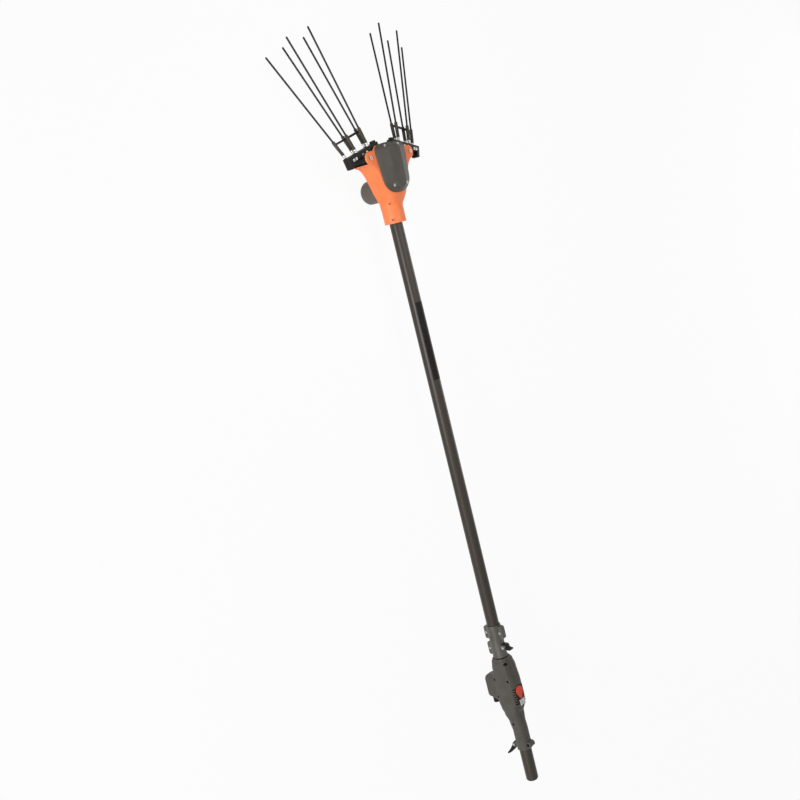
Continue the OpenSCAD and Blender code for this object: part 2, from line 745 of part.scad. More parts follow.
plate_front = head_front - head_wall;
plate_back = -head_back + head_wall;
motor_x = 87;
gear_span = gear_module * (pinion_teeth / 2 + idler_teeth + crank_teeth / 2);
crank_y = gear_module * crank_teeth / 2;
crank_x = motor_x + sqrt(gear_span * gear_span - crank_y * crank_y);
idler_share = (pinion_teeth + idler_teeth) / (2 * gear_span / gear_module);
idler_at = [motor_x + (crank_x - motor_x) * idler_share, crank_y * idler_share];
crank_at = [crank_x, crank_y];
pivot_at = [pivot_x, pivot_y];
neck_x = 44;
neck_run = 8;
neck_from = collar_len - neck_run;
waist_x = 64;
hip_x = 107;
shoulder_back = 24;
shoulder_in = 14;
lobe_from = 160;
lobe_to = 20;
// Brow between the lobes, under the cover's top edge
brow_out = 28.5;
brow_low = 18;
brow_w = 50;
brow_run = 11;
collar_r = collar_d / 2;
lobe_tip = pivot_at + lobe_r * [cos(lobe_from), sin(lobe_from)];
// Half outline of the head from the collar's end to the brow
head_plan = concat(
    bend([[-collar_drop, collar_r], [neck_x, collar_r], [waist_x, waist_w], [hip_x, hip_w],
        [pivot_x - shoulder_back, pivot_y - shoulder_in], lobe_tip]),
    after_first(arc(pivot_at, lobe_r, lobe_from, lobe_to)),
    [[pivot_x + brow_low, brow_w + brow_run], [pivot_x + brow_out, brow_w]]);
// Squareness of the head's sections along it, and the blend from the round collar to the head's height
square_keys = [[neck_from, 2], [neck_x, 2.2], [waist_x, 6], [hip_x, 10], [pivot_x, 16]];
cap_lead = 4;
x_cap_lead = motor_x - motor_cap_d / 2 - cap_lead;
function rise_at(x, to) = ease(min(1, max(0, (x - neck_from) / (to - neck_from))));
function head_ring(p) = ring_x([p[0], p[1],
    collar_r + (head_front - collar_r) * rise_at(p[0], waist_x),
    -collar_r + (collar_r - head_back) * rise_at(p[0], x_cap_lead), lookup(p[0], square_keys)], ring_half);
ring_half = 0.5;

module at_head() translate([x_head, 0, 0]) children();
mouth_back = 14;
mouth_x = pivot_x - mouth_back;
cavity_lead = 22;
cavity_x = collar_len + cavity_lead;
edge_room = 4;
// Inside of the shells at a given distance from the outline
function cavity_left(by) = concat(
    [[cavity_x, lookup(cavity_x, head_plan) - by]],
    [for (p = head_plan) if (p[0] > cavity_x + cut && p[0] < mouth_x - cut) [p[0], p[1] - by]],
    [[mouth_x + cut, lookup(mouth_x, head_plan) - by]]);
module cavity_prism(by, z0, z1) translate([0, 0, z0]) linear_extrude(z1 - z0)
    polygon(concat(cavity_left(by), flip(cavity_left(by))));
module cavity() {
    cavity_prism(head_wall, plate_back + edge_room, plate_front - edge_room);
    cavity_prism(head_wall + edge_room, plate_back, plate_front);
    translate([mouth_x, -big / 2, plate_back]) cube([big, big, plate_front - plate_back]);
}

// Gear cover: a wide loop at its foot and a narrower ridge on top
cover_tip = 70;
cover_len = 127;
// Outline of the cover's left half in shares of its length and of its half width
cover_end_shares = [1, 0.5];
cover_corner_shares = [[1, 0.88], [1, 1], [0.905, 1]];
cover_side_shares = [[0.84, 0.995], [0.315, 0.91], [0.11, 0.86], [0, 0.42], [0, 0.02]];
function cover_at(s) = [cover_tip + s[0] * cover_len, s[1] * cover_w];
cover_left = concat(
    [cover_at(cover_end_shares)],
    bend([for (s = cover_corner_shares) cover_at(s)]),
    bend([for (s = cover_side_shares) cover_at(s)]));
cover_loop = concat(flip(cover_left), cover_left);
// Shares of the cover's half width and of its height, then how far the ends draw in
cover_shares = [
    [1, 0, 0], [0.99, 0.16, 0.1], [0.95, 0.24, 0.3],
    [0.47, 0.77, 0.7], [0.4, 0.96, 0.85], [0.37, 1, 1]];
cover_draw = 10;
cover_half = cover_len / 2;
cover_mid = cover_tip + cover_half;
function cover_rings(wall, base) = [for (s = cover_shares)
    let (draw = wall + s[2] * cover_draw)
    [for (p = cover_loop) [cover_mid + (p[0] - cover_mid) * (1 - draw / cover_half),
        p[1] * s[0] * (1 - wall / cover_w), base + s[1] * (cover_rise - wall)]]];
cover_wall = 2.5;
// Opening in the front shell under the cover
hatch_lead = 4;
hatch_side = 12;
hatch_end = 16;
hatch_x0 = crank_x - crank_y - gear_module - hatch_lead;
hatch_x1 = cover_tip + cover_len - hatch_end;
hatch_half = cover_w - hatch_side;
cover_spot_shares = [[0.953, 0.44], [0.15, 0.44]];
cover_rise_shares = [0.45, 0.55];
cover_spots = [for (s = cover_spot_shares) cover_at(s)];
cover_spot_z = cover_rise * cover_rise_shares;

// Shell screws under the cover, in shares of the waist's place and half width
shell_spot_share = [1.47, 0.78];
shell_screw_sink = 6;
shell_screw_floor = 8;
shell_screw_z = head_front - shell_screw_sink;
shell_screw_l = shell_screw_z + head_back - shell_screw_floor;
shell_spot = [shell_spot_share[0] * waist_x, shell_spot_share[1] * waist_w];
// Clamping screws at both ends of the collar, in shares of its length and radius
collar_spot_shares = [[0.11, 0.8, 0.26], [1.07, 0.88, 0.38]];
collar_screw_l = 18;
collar_screws = [for (s = collar_spot_shares)
    [s[0] * collar_len, s[1] * collar_r, s[2] * collar_r, collar_screw_l]];
// Place of each screw on the left side and its length
head_screw_table = concat([[shell_spot[0], shell_spot[1], shell_screw_z, shell_screw_l]], collar_screws);
module at_head_screw(s) translate([s[0], s[1], s[2]]) children();

// Both shells before the split: what stands in the hollow is left out of its cut
module head_solid() difference() {
    loft([for (p = head_plan) head_ring(p)]);
    difference() {
        cavity();
        both_sides() translate([shell_spot[0], shell_spot[1], 0])
            rod_z(plate_back - cut, plate_front + cut, pillar_d);
        for (p = axle_spots) translate(p) rod_z(plate_back - cut, gear_z0 - face_gap, axle_boss_d);
    }
    rod_x(-collar_drop - cut, pole_in_head + slide_gap, pole_d + 2 * seat);
    both_sides() {
        translate([pivot_x, pivot_y, 0]) rod_z(-big / 2, big / 2, pivot_d + 2 * seat);
        for (s = head_screw_table) at_head_screw(s) {
            screw_hole(s[3]);
            cylinder(d = screw_head_d + 2 * seat, h = head_front);
        }
    }
}
module front_head_shell() color("#ff864e") at_head() difference() {
    intersection() {
        head_solid();
        translate([-big / 2, -big / 2, 0]) cube(big);
    }
    translate([hatch_x0, -hatch_half, 0]) cube([hatch_x1 - hatch_x0, 2 * hatch_half, big]);
    both_sides() for (s = cover_spots) translate([s[0], s[1], 0]) rod_z(0, big, screw_d + 2 * seat);
}

motor_face = -head_back;
axle_d = 8;
axle_boss_d = 16;
gear_z0 = -6;
gear_z1 = gear_z0 + gear_t;
axle_spots = [crank_at, [crank_at[0], -crank_at[1]], idler_at];
shaft_d = 6;
module rear_head_shell() color("#ff8a55") at_head() difference() {
    intersection() {
        head_solid();
        translate([-big / 2, -big / 2, -big]) cube(big);
    }
    for (p = axle_spots) translate(p) rod_z(plate_back, gear_z0, axle_d + 2 * seat);
    translate([motor_x, 0, 0]) rod_z(-big / 2, 0, shaft_d + 2 * shaft_room);
    at_motor_screws() screw_hole(head_back);
}
shaft_room = 4;
motor_screw_r = 17;
motor_screw_step = 90;
motor_screw_count = 3;
// Screws through the rear shell's floor into the motor, clear of the idler
module at_motor_screws() translate([motor_x, 0, plate_back]) for (i = [1 : motor_screw_count])
    rotate(drive_dir + 180 + i * motor_screw_step) translate([motor_screw_r, 0, 0]) children();

module gear_cover() color("#5b5650") at_head() difference() {
    loft(cover_rings(0, head_front));
    loft(cover_rings(cover_wall, head_front - seat));
    both_sides() for (i = [0 : len(cover_spots) - 1]) at_cover_spot(i) {
        screw_hole(cover_rise);
        cylinder(d = screw_head_d + 2 * seat, h = cover_rise);
    }
}
module at_cover_spot(i)
    translate([cover_spots[i][0], cover_spots[i][1], head_front + cover_spot_z[i]]) children();
module cover_screws() color("#d9d7d4") at_head() both_sides() for (i = [0 : len(cover_spots) - 1])
    at_cover_spot(i) screw(cover_spot_z[i] + head_wall);

module head_screws() color("#cfccc8") at_head() both_sides()
    for (s = head_screw_table) at_head_screw(s) screw(s[3] - screw_d / 2);

// Shoulder bolts that the combs turn on, with nuts at the back
bolt_head_d = 10;
bolt_head_t = 3;
nut_d = 13;
nut_t = 5;
bolt_socket_d = 4.5;
module pivot_bolts() color("#d6d4d0") at_head() both_sides() translate([pivot_x, pivot_y, 0]) {
    rod_z(-head_back - nut_t - cut, head_front, pivot_d);
    difference() {
        rod_z(head_front, head_front + bolt_head_t, bolt_head_d);
        translate([0, 0, head_front + bolt_head_t / 2]) cylinder(d = bolt_socket_d, h = bolt_head_t, $fn = 6);
    }
}
module pivot_nuts() color("#bdbab5") at_head() both_sides() translate([pivot_x, pivot_y, -head_back - nut_t])
    difference() {
        cylinder(d = nut_d, h = nut_t, $fn = 6);
        translate([0, 0, -cut]) cylinder(d = pivot_d + 2 * seat, h = nut_t + 2 * cut);
    }

// Motor at the back, its shaft along Z

cap_wall = 2.5;
cap_edge = 12;
cap_edge_share = 0.35;
stator_wall = 2.5;
stator_t = 31;
rotor_gap = 0.6;
rotor_end = 3;
module motor_cap() color("#6d6057") at_head() translate([motor_x, 0, 0]) rotate_extrude() polygon([
    [motor_cap_d / 2, -head_back], [motor_cap_d / 2, -cap_drop + cap_edge],
    [motor_cap_d / 2 - cap_edge * cap_edge_share, -cap_drop + cap_edge * cap_edge_share],
    [motor_cap_d / 2 - cap_edge, -cap_drop],
    [0, -cap_drop], [0, -cap_drop + cap_wall],
    [motor_cap_d / 2 - cap_edge - cap_wall, -cap_drop + cap_wall],
    [motor_cap_d / 2 - cap_wall, -cap_drop + cap_edge + cap_wall],
    [motor_cap_d / 2 - cap_wall, -head_back]]);
module motor_stator() color("#9a9894") at_head() translate([motor_x, 0, 0]) difference() {
    rod_z(motor_face - stator_t, motor_face, motor_d);
    rod_z(motor_face - stator_t + stator_wall, motor_face - stator_wall, motor_d - 2 * stator_wall);
    rod_z(motor_face - stator_t + stator_wall / 2, big, shaft_d + 2 * run_gap);
    translate([-motor_x, 0, 0]) at_motor_screws() screw_hole(head_wall + stator_wall);
}
module motor_screws() color("#c2bfba") at_head() at_motor_screws() screw(head_wall + stator_wall);
module motor_rotor() color("#8d6a4a") at_head() translate([motor_x, 0, 0]) {
    rod_z(motor_face - stator_t + stator_wall + rotor_end, motor_face - stator_wall - rotor_end,
        motor_d - 2 * stator_wall - 2 * rotor_gap);
    rod_z(motor_face - stator_t + stator_wall / 2 + seat, gear_z1, shaft_d);
}

// Gears with involute teeth

pressure = 25;
addendum_share = 0.9;
dedendum_share = 1.2;
backlash = 0.16;
flank_steps = 4;
function inv(a) = tan(a) * 180 / PI - a;
function tooth_half(r, n) = let (rp = gear_module * n / 2, rb = rp * cos(pressure))
    90 / n - backlash / rp * 90 / PI + inv(pressure) - (r > rb ? inv(acos(rb / r)) : 0);
function flank_radii(n) = let (rp = gear_module * n / 2, rb = rp * cos(pressure),
    root = rp - dedendum_share * gear_module, tip = rp + addendum_share * gear_module, start = max(root, rb))
    concat([root], [for (i = [0 : flank_steps]) start + (tip - start) * i / flank_steps]);
function gear_points(n) = let (radii = flank_radii(n), last = len(radii) - 1)
    [for (k = [0 : n - 1]) let (mid = 360 * k / n) each concat(
        [for (i = [0 : last]) let (a = mid - tooth_half(radii[i], n)) radii[i] * [cos(a), sin(a)]],
        [for (i = [last : -1 : 0]) let (a = mid + tooth_half(radii[i], n)) radii[i] * [cos(a), sin(a)]])];
// Turn of a gear of n2 teeth that meshes with one of n1 teeth turned by t1, in the direction dir
function mesh_turn(t1, n1, n2, dir) = dir + 180 - (t1 - dir) * n1 / n2 + 180 / n2;

left_turn = -90;
right_turn = mesh_turn(left_turn, crank_teeth, crank_teeth, -90);
drive_dir = atan2(-crank_y, motor_x - crank_x);
idler_turn = mesh_turn(left_turn, crank_teeth, idler_teeth, drive_dir);
pinion_turn = mesh_turn(idler_turn, idler_teeth, pinion_teeth, drive_dir);

module gear(n, turn, bore) difference() {
    rotate(turn) translate([0, 0, gear_z0]) linear_extrude(gear_t) polygon(gear_points(n));
    rod_z(gear_z0 - cut, gear_z1 + cut, bore);
}
module drive_pinion() color("#a8a5a0") at_head() translate([motor_x, 0, 0])
    gear(pinion_teeth, pinion_turn, shaft_d + 2 * seat);
module idler_gear() color("#e6e2d6") at_head() translate(idler_at)
    gear(idler_teeth, idler_turn, axle_d + 2 * run_gap);
// Pins that the idler and the crank gears turn on
axle_head_d = 11;
axle_head_t = 1.5;
module gear_axles() color("#b9b6b1") at_head() for (p = axle_spots) translate(p) {
    rod_z(plate_back, gear_z1 + face_gap, axle_d);
    rod_z(gear_z1 + face_gap, gear_z1 + face_gap + axle_head_t, axle_head_d);
}

// Crank pin at the far side of the gear from the comb's pivot, with a roller that runs in the fork
fork_dir = atan2(crank_y - pivot_y, crank_x - pivot_x);
fork_d = norm(crank_at - pivot_at);
pin_at = crank_at + crank_throw * [cos(fork_dir), sin(fork_dir)];
crank_pin_d = 5;
crank_pin_step = 0.5;
fork_z0 = 8;
fork_t = 9;
module crank_pin() translate(pin_at) {
    rod_z(gear_z1 - cut, fork_z0 + fork_t, crank_pin_d);
    rod_z(gear_z1 - cut, fork_z0 - face_gap / 2, crank_pin_d + 2 * crank_pin_step);
}
module crank_roller() translate(pin_at) difference() {
    rod_z(fork_z0, fork_z0 + fork_t, roller_d);
    rod_z(fork_z0 - cut, fork_z0 + fork_t + cut, crank_pin_d + 2 * seat);
}
module left_crank_gear() color("#d9d4c6") at_head() {
    translate(crank_at) gear(crank_teeth, left_turn, axle_d + 2 * run_gap);
    crank_pin();
}
module left_crank_roller() color("#a3a09b") at_head() crank_roller();
module right_crank_gear() color("#d9d4c6") at_head() {
    translate([crank_x, -crank_y, 0]) gear(crank_teeth, right_turn, axle_d + 2 * run_gap);
    mirror([0, 1, 0]) crank_pin();
}
module right_crank_roller() color("#a3a09b") at_head() mirror([0, 1, 0]) crank_roller();

// Combs

hub_d = 24;
hub_z0 = plate_back + face_gap;
hub_z1 = plate_front - face_gap;
bush_d = 12;
bush_l = 12;
bar_z = 15.5;
bar_top = 26;
arm_w = 12;
fork_wall = 4;
fork_gap = 0.45;
fork_w = roller_d + 2 * fork_gap + 2 * fork_wall;
fork_from_share = 0.8;
fork_past = 2;
fork_from = fork_d * fork_from_share;
fork_to = fork_d + crank_throw + fork_past;
slot_from = fork_d - crank_throw / 2;
end_drop = 30;
end_t = 10;
knob_d = 16;
knob_rise = 5;
row_gap = 5.5;
seat_l = 10;
station_shares = [-0.426, 0.331, 0.859];
stations = [for (s = station_shares) s * bar_in];
// Station, row (1 front, -1 back)
tine_table = [[0, 1], [0, -1], [1, 1], [1, -1], [2, -1]];
screw_shares = [-0.9, -0.66, -0.16, 0.1, 0.56, 0.72];
bar_screw_l = 6;
bar_screw_drop = 5;

module at_bar() translate([pivot_x, pivot_y, bar_z])
    rotate([0, 0, bar_turn]) rotate([-bar_tilt, 0, 0]) children();
module at_tine(t) translate([bar_top, stations[t[0]], t[1] * row_gap])
    rotate([0, 0, fan_first + t[0] * fan_step]) rotate([0, t[1] > 0 ? front_lean : back_lean, 0]) children();
function tine_len(t) = t[1] > 0 ? front_len : back_len;

module comb_bar() difference() {
    union() {
        translate([pivot_x, pivot_y, 0]) rod_z(hub_z0, hub_z1, hub_d);
        at_bar() {
            translate([bar_top - bar_h, -bar_in, -bar_t / 2]) cube([bar_h, bar_in + bar_out, bar_t]);
            translate([bar_top - end_drop, bar_out - end_t, -bar_t / 2]) cube([end_drop, end_t, bar_t]);
            translate([bar_top - bar_h + knob_rise, -bar_in + knob_d / 2, 0]) rod_x(0, bar_h, knob_d);
        }
        translate([pivot_x, pivot_y, 0]) rotate(fork_dir) {
            translate([0, -arm_w / 2, fork_z0]) cube([fork_from + cut, arm_w, fork_t]);
            translate([fork_from, -fork_w / 2, fork_z0]) cube([fork_to - fork_from, fork_w, fork_t]);
        }
    }
    translate([pivot_x, pivot_y, 0]) {
        rod_z(hub_z0 - cut, hub_z1 + cut, pivot_d + 2 * slide_gap);
        rod_z(hub_z0 - cut, hub_z0 + bush_l, bush_d + 2 * seat);
        rod_z(hub_z1 - bush_l, hub_z1 + cut, bush_d + 2 * seat);
        rotate(fork_dir) translate([slot_from, -roller_d / 2 - fork_gap, fork_z0 - cut])
            cube([fork_to, roller_d + 2 * fork_gap, fork_t + 2 * cut]);
    }
    at_bar() {
        for (t = tine_table) at_tine(t) rod_x(-seat_l - seat, seat_l, tine_d + 2 * seat);
        at_bar_screws() screw_hole(bar_screw_l);
    }
}
module hub_bushes() translate([pivot_x, pivot_y, 0]) for (z = [hub_z0, hub_z1 - bush_l]) difference() {
    rod_z(z, z + bush_l, bush_d);
    rod_z(z - cut, z + bush_l + cut, pivot_d + 2 * run_gap);
}
module at_bar_screws() for (s = screw_shares)
    translate([bar_top - bar_h + bar_screw_drop, s * bar_in, bar_t / 2]) children();
module bar_screws() at_bar() at_bar_screws() screw(bar_screw_l);
module tines() at_bar() for (t = tine_table) at_tine(t) {
    rod_x(-seat_l, tine_len(t) - tine_d / 2, tine_d);
    translate([tine_len(t) - tine_d / 2, 0, 0]) sphere(d = tine_d);
}
// Bright ferrules at the tines' feet, below the sleeves
ferrule_foot = 1;
ferrule_d = 8;
sleeve_foot = 10;
module tine_ferrules() at_bar() for (t = tine_table) at_tine(t)
    tube_x(ferrule_foot, sleeve_foot, ferrule_d, tine_d + 2 * seat);
module tine_sleeves() at_bar() for (t = tine_table) at_tine(t)
    tube_x(sleeve_foot, sleeve_foot + sleeve_l, sleeve_d, tine_d + 2 * seat);

// Brace between the sleeves, run along the middle of each station's rows
brace_d = 6.2;
brace_outer_d = 5.4;
brace_share = 0.78;
function station_dir(i) = let (f = fan_first + i * fan_step,
    l = i == 2 ? back_lean : (front_lean + back_lean) / 2)
    [cos(f) * cos(l), sin(f) * cos(l), -sin(l)];
function brace_at(i) = [bar_top, stations[i], i == 2 ? -row_gap : 0]
    + (sleeve_foot + brace_share * sleeve_l) * station_dir(i);
// Round bar from a to b that runs past both ends by a given length
module strut(a, b, d, past) {
    v = b - a;
    translate(a) rotate([0, acos(v[2] / norm(v)), atan2(v[1], v[0])])
        translate([0, 0, -past]) cylinder(d = d, h = norm(v) + 2 * past);
}
module tine_brace() at_bar() difference() {
    union() {
        strut(brace_at(0), brace_at(1), brace_d, brace_d / 2);
        strut(brace_at(1), brace_at(2), brace_outer_d, 0);
    }
    for (t = tine_table) at_tine(t) rod_x(0, 2 * sleeve_l, sleeve_d + 2 * seat);
}

module comb(side) at_head() on_side(side) children();
module left_comb_bar() color("#2b2825") comb(1) comb_bar();
module left_hub_bushes() color("#b08d4a") comb(1) hub_bushes();
module left_bar_screws() color("#dcdad6") comb(1) bar_screws();
module left_tines() color("#1f1c1a") comb(1) tines();
module left_tine_ferrules() color("#d4d2ce") comb(1) tine_ferrules();
module left_tine_sleeves() color("#6a6560") comb(1) tine_sleeves();
module left_tine_brace() color("#171514") comb(1) tine_brace();
module right_comb_bar() color("#2b2825") comb(-1) comb_bar();
module right_hub_bushes() color("#b08d4a") comb(-1) hub_bushes();
module right_bar_screws() color("#dcdad6") comb(-1) bar_screws();
module right_tines() color("#1f1c1a") comb(-1) tines();
module right_tine_ferrules() color("#d4d2ce") comb(-1) tine_ferrules();
module right_tine_sleeves() color("#6a6560") comb(-1) tine_sleeves();
module right_tine_brace() color("#171514") comb(-1) tine_brace();

// The origin lies on the tail tube's axis
module in_frame() translate([0, 0, -tail_rise]) children();
in_frame() main_pole();
in_frame() pole_label();
in_frame() pole_guide();
in_frame() coiled_lead();
in_frame() clamp_left_half();
in_frame() clamp_right_half();
in_frame() clamp_screws();
in_frame() clamp_lever_pin();
in_frame() clamp_shoe();
in_frame() clamp_lever();
in_frame() front_head_shell();
in_frame() rear_head_shell();
in_frame() gear_cover();
in_frame() cover_screws();
in_frame() head_screws();
in_frame() pivot_bolts();
in_frame() pivot_nuts();
in_frame() motor_cap();
in_frame() motor_stator();
in_frame() motor_screws();
in_frame() gear_axles();
in_frame() motor_rotor();
in_frame() drive_pinion();
in_frame() idler_gear();
in_frame() left_crank_gear();
in_frame() left_crank_roller();
in_frame() right_crank_gear();
in_frame() right_crank_roller();
in_frame() left_comb_bar();
in_frame() left_hub_bushes();
in_frame() left_bar_screws();
in_frame() left_tines();
in_frame() left_tine_ferrules();
in_frame() left_tine_sleeves();
in_frame() left_tine_brace();
in_frame() right_comb_bar();
in_frame() right_hub_bushes();
in_frame() right_bar_screws();
in_frame() right_tines();
in_frame() right_tine_ferrules();
in_frame() right_tine_sleeves();
in_frame() right_tine_brace();
in_frame() inner_tube();
in_frame() inner_guide();
in_frame() handle_left_shell();
in_frame() handle_right_shell();
in_frame() handle_screws();
in_frame() controller_board();
in_frame() power_inlet();
in_frame() inlet_contacts();
in_frame() switch_panel();
in_frame() status_window();
in_frame() switch_body();
in_frame() switch_button();
in_frame() button_spring();
in_frame() tail_lever_pin();
in_frame() tail_shoe();
in_frame() tail_lever();
in_frame() tail_tube();
in_frame() tail_cap();
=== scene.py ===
import json
import math

import bmesh
import bpy
from mathutils import Matrix, Vector


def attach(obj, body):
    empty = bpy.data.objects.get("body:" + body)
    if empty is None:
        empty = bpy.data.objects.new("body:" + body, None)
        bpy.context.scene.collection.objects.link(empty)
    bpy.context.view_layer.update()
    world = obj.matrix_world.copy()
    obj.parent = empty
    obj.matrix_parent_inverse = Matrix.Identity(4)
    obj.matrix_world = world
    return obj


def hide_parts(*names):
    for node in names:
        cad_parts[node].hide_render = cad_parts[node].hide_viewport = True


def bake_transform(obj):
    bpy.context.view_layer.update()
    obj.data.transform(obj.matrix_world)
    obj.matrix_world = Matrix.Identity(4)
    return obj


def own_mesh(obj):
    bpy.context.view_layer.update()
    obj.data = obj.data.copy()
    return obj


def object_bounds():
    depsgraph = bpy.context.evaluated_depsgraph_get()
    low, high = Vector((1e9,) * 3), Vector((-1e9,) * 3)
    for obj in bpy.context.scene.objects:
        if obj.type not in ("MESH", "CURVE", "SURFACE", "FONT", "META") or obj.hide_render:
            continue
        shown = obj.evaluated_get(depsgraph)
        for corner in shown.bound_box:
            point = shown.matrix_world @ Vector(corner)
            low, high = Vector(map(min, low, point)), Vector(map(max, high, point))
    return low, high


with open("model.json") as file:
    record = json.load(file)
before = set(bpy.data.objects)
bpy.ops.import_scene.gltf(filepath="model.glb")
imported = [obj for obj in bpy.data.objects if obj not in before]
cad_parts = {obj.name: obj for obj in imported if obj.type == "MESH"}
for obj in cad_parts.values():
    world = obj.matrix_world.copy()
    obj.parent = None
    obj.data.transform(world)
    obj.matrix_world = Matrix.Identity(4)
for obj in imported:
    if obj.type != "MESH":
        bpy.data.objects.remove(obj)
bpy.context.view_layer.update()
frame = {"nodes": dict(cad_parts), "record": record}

scene = bpy.context.scene
nodes = frame["nodes"]
body_of = {n: b for b, members in frame["record"]["behaviour"]["bodies"].items() for n in members}
slot_of = {s["node"]: s["material_slot"] for s in frame["record"]["subparts"]}

# Pieces are built in millimetres about the pole's axis, then moved to the frame, whose origin is on the tail tube
TAIL_RISE = 8.5
TO_FRAME = Matrix.Scale(0.001, 4) @ Matrix.Translation((0, 0, -TAIL_RISE))
X_HANDLE, HANDLE_L = 95.0, 280.0
X_CLAMP, CLAMP_L = 378.0, 94.0
X_POLE, X_HEAD, X_POLE_END = 422.0, 1620.0, 1686.0
POLE_D, POLE_BORE, INNER_D = 35.0, 31.5, 29.0
SCREW_BORE, SCREW_SEAT = 4.1, 7.6

ALONG_X = Matrix.Rotation(math.pi / 2, 4, "Y")
ALONG_Y = Matrix.Rotation(-math.pi / 2, 4, "X")
STAND = Matrix.Rotation(math.pi / 2, 4, "X")
MIRROR = Matrix.Scale(-1, 4, (0, 1, 0))
AT_TAIL = Matrix.Translation((0, 0, TAIL_RISE)) @ ALONG_X
AT_TAIL_LEVER = Matrix.Translation((X_HANDLE + 10, 0, TAIL_RISE - 27.5)) @ Matrix.Scale(-1, 4, (0, 0, 1))
AT_CLAMP_LEVER = Matrix.Translation((X_CLAMP + 30, 0, 26))
AT_PANEL = Matrix.Translation((261.04, 0, 36.8)) @ Matrix.Rotation(math.radians(5), 4, "Y")
AT_BUTTON = AT_PANEL @ Matrix.Translation((9, 0, 0))
AT_INLET = Matrix.Translation((0, 0, -53)) @ ALONG_X
AT_HEAD = Matrix.Translation((X_HEAD, 0, 0))
MOTOR_X = 87
AT_MOTOR = AT_HEAD @ Matrix.Translation((MOTOR_X, 0, 0))


# Camera, floor and light

def look():
    """Camera fitted to the photograph: place, target and roll."""
    eye, target = Vector((1.6219, 2.1631, 1.9392)), Vector((1.1529, 0.06805, -0.0841))
    roll = math.radians(13.931)
    back = (eye - target).normalized()
    up0 = (Vector((1, 0, 0)) - back * back.x).normalized()
    right0 = up0.cross(back)
    right = math.cos(roll) * right0 - math.sin(roll) * up0
    up = math.sin(roll) * right0 + math.cos(roll) * up0
    data = bpy.data.cameras.new("camera")
    data.sensor_width, data.sensor_fit, data.lens = 36.0, "HORIZONTAL", 49.06
    camera = bpy.data.objects.new("camera", data)
    camera.matrix_world = Matrix((right, up, back)).transposed().to_4x4()
    camera.matrix_world.translation = eye
    scene.collection.objects.link(camera)
    scene.camera = camera


def seen_directly(tree):
    """1 for camera, glossy and transmission rays, 0 for the rays that light the object."""
    path = tree.nodes.new("ShaderNodeLightPath")
    total = path.outputs["Is Camera Ray"]
    for ray in ("Is Glossy Ray", "Is Transmission Ray"):
        either = tree.nodes.new("ShaderNodeMath")
        either.operation = "MAXIMUM"
        tree.links.new(total, either.inputs[0])
        tree.links.new(path.outputs[ray], either.inputs[1])
        total = either.outputs[0]
    return total


def mix_to(tree, share, first, second, output):
    mix = tree.nodes.new("ShaderNodeMixShader")
    tree.links.new(share, mix.inputs[0])
    tree.links.new(first.outputs[0], mix.inputs[1])
    tree.links.new(second.outputs[0], mix.inputs[2])
    tree.links.new(mix.outputs[0], tree.nodes[output].inputs["Surface"])


def pale_floor():
    mesh = bpy.data.meshes.new("floor")
    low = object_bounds()[0][2] - 0.0008
    mesh.from_pydata([(-7, -8, low), (10, -8, low), (10, 8, low), (-7, 8, low)], [], [(0, 1, 2, 3)])
    floor = bpy.data.objects.new("floor", mesh)
    scene.collection.objects.link(floor)
    pale = bpy.data.materials.new("floor_white")
    pale.use_nodes = True
    tree = pale.node_tree
    matt = tree.nodes["Principled BSDF"]
    matt.inputs["Base Color"].default_value = (0.86, 0.86, 0.86, 1)
    matt.inputs["Roughness"].default_value = 0.9
    glow = tree.nodes.new("ShaderNodeEmission")
    share = tree.nodes.new("ShaderNodeMath")
    share.operation = "MULTIPLY"
    share.inputs[1].default_value = 0.94
    tree.links.new(seen_directly(tree), share.inputs[0])
    mix_to(tree, share.outputs[0], matt, glow, "Material Output")
    mesh.materials.append(pale)


def surround():
    """Even light from all round, which shows as plain white where it is seen."""
    world = bpy.data.worlds.new("surround")
    world.use_nodes = True
    tree = world.node_tree
    even, white = tree.nodes["Background"], tree.nodes.new("ShaderNodeBackground")
    for background, strength in ((even, 0.22), (white, 1.0)):
        background.inputs["Color"].default_value = (1, 1, 1, 1)
        background.inputs["Strength"].default_value = strength
    mix_to(tree, seen_directly(tree), even, white, "World Output")
    scene.world = world


# Name, place, the point on the pole it is aimed at, size and power
LAMPS = (("key", (1.2, 3.6, 0.75), 1.1, 1.6, 94), ("head_light", (1.8, 0.0, 0.9), 1.75, 0.7, 3.4),
         ("tail_light", (-0.9, 2.8, 0.9), 1.1, 1.6, 14), ("back_light", (1.0, -3.0, 0.7), 1.1, 2.0, 18))


def lights():
    for name, eye, aim, size, watts in LAMPS:
        data = bpy.data.lights.new(name, "AREA")
        data.size, data.energy = size, watts
        lamp = bpy.data.objects.new(name, data)
        lamp.location = eye
        lamp.rotation_euler = (Vector((aim, 0, 0)) - Vector(eye)).to_track_quat("-Z", "Y").to_euler()
        scene.collection.objects.link(lamp)
    scene.view_settings.view_transform = "Standard"


# Materials

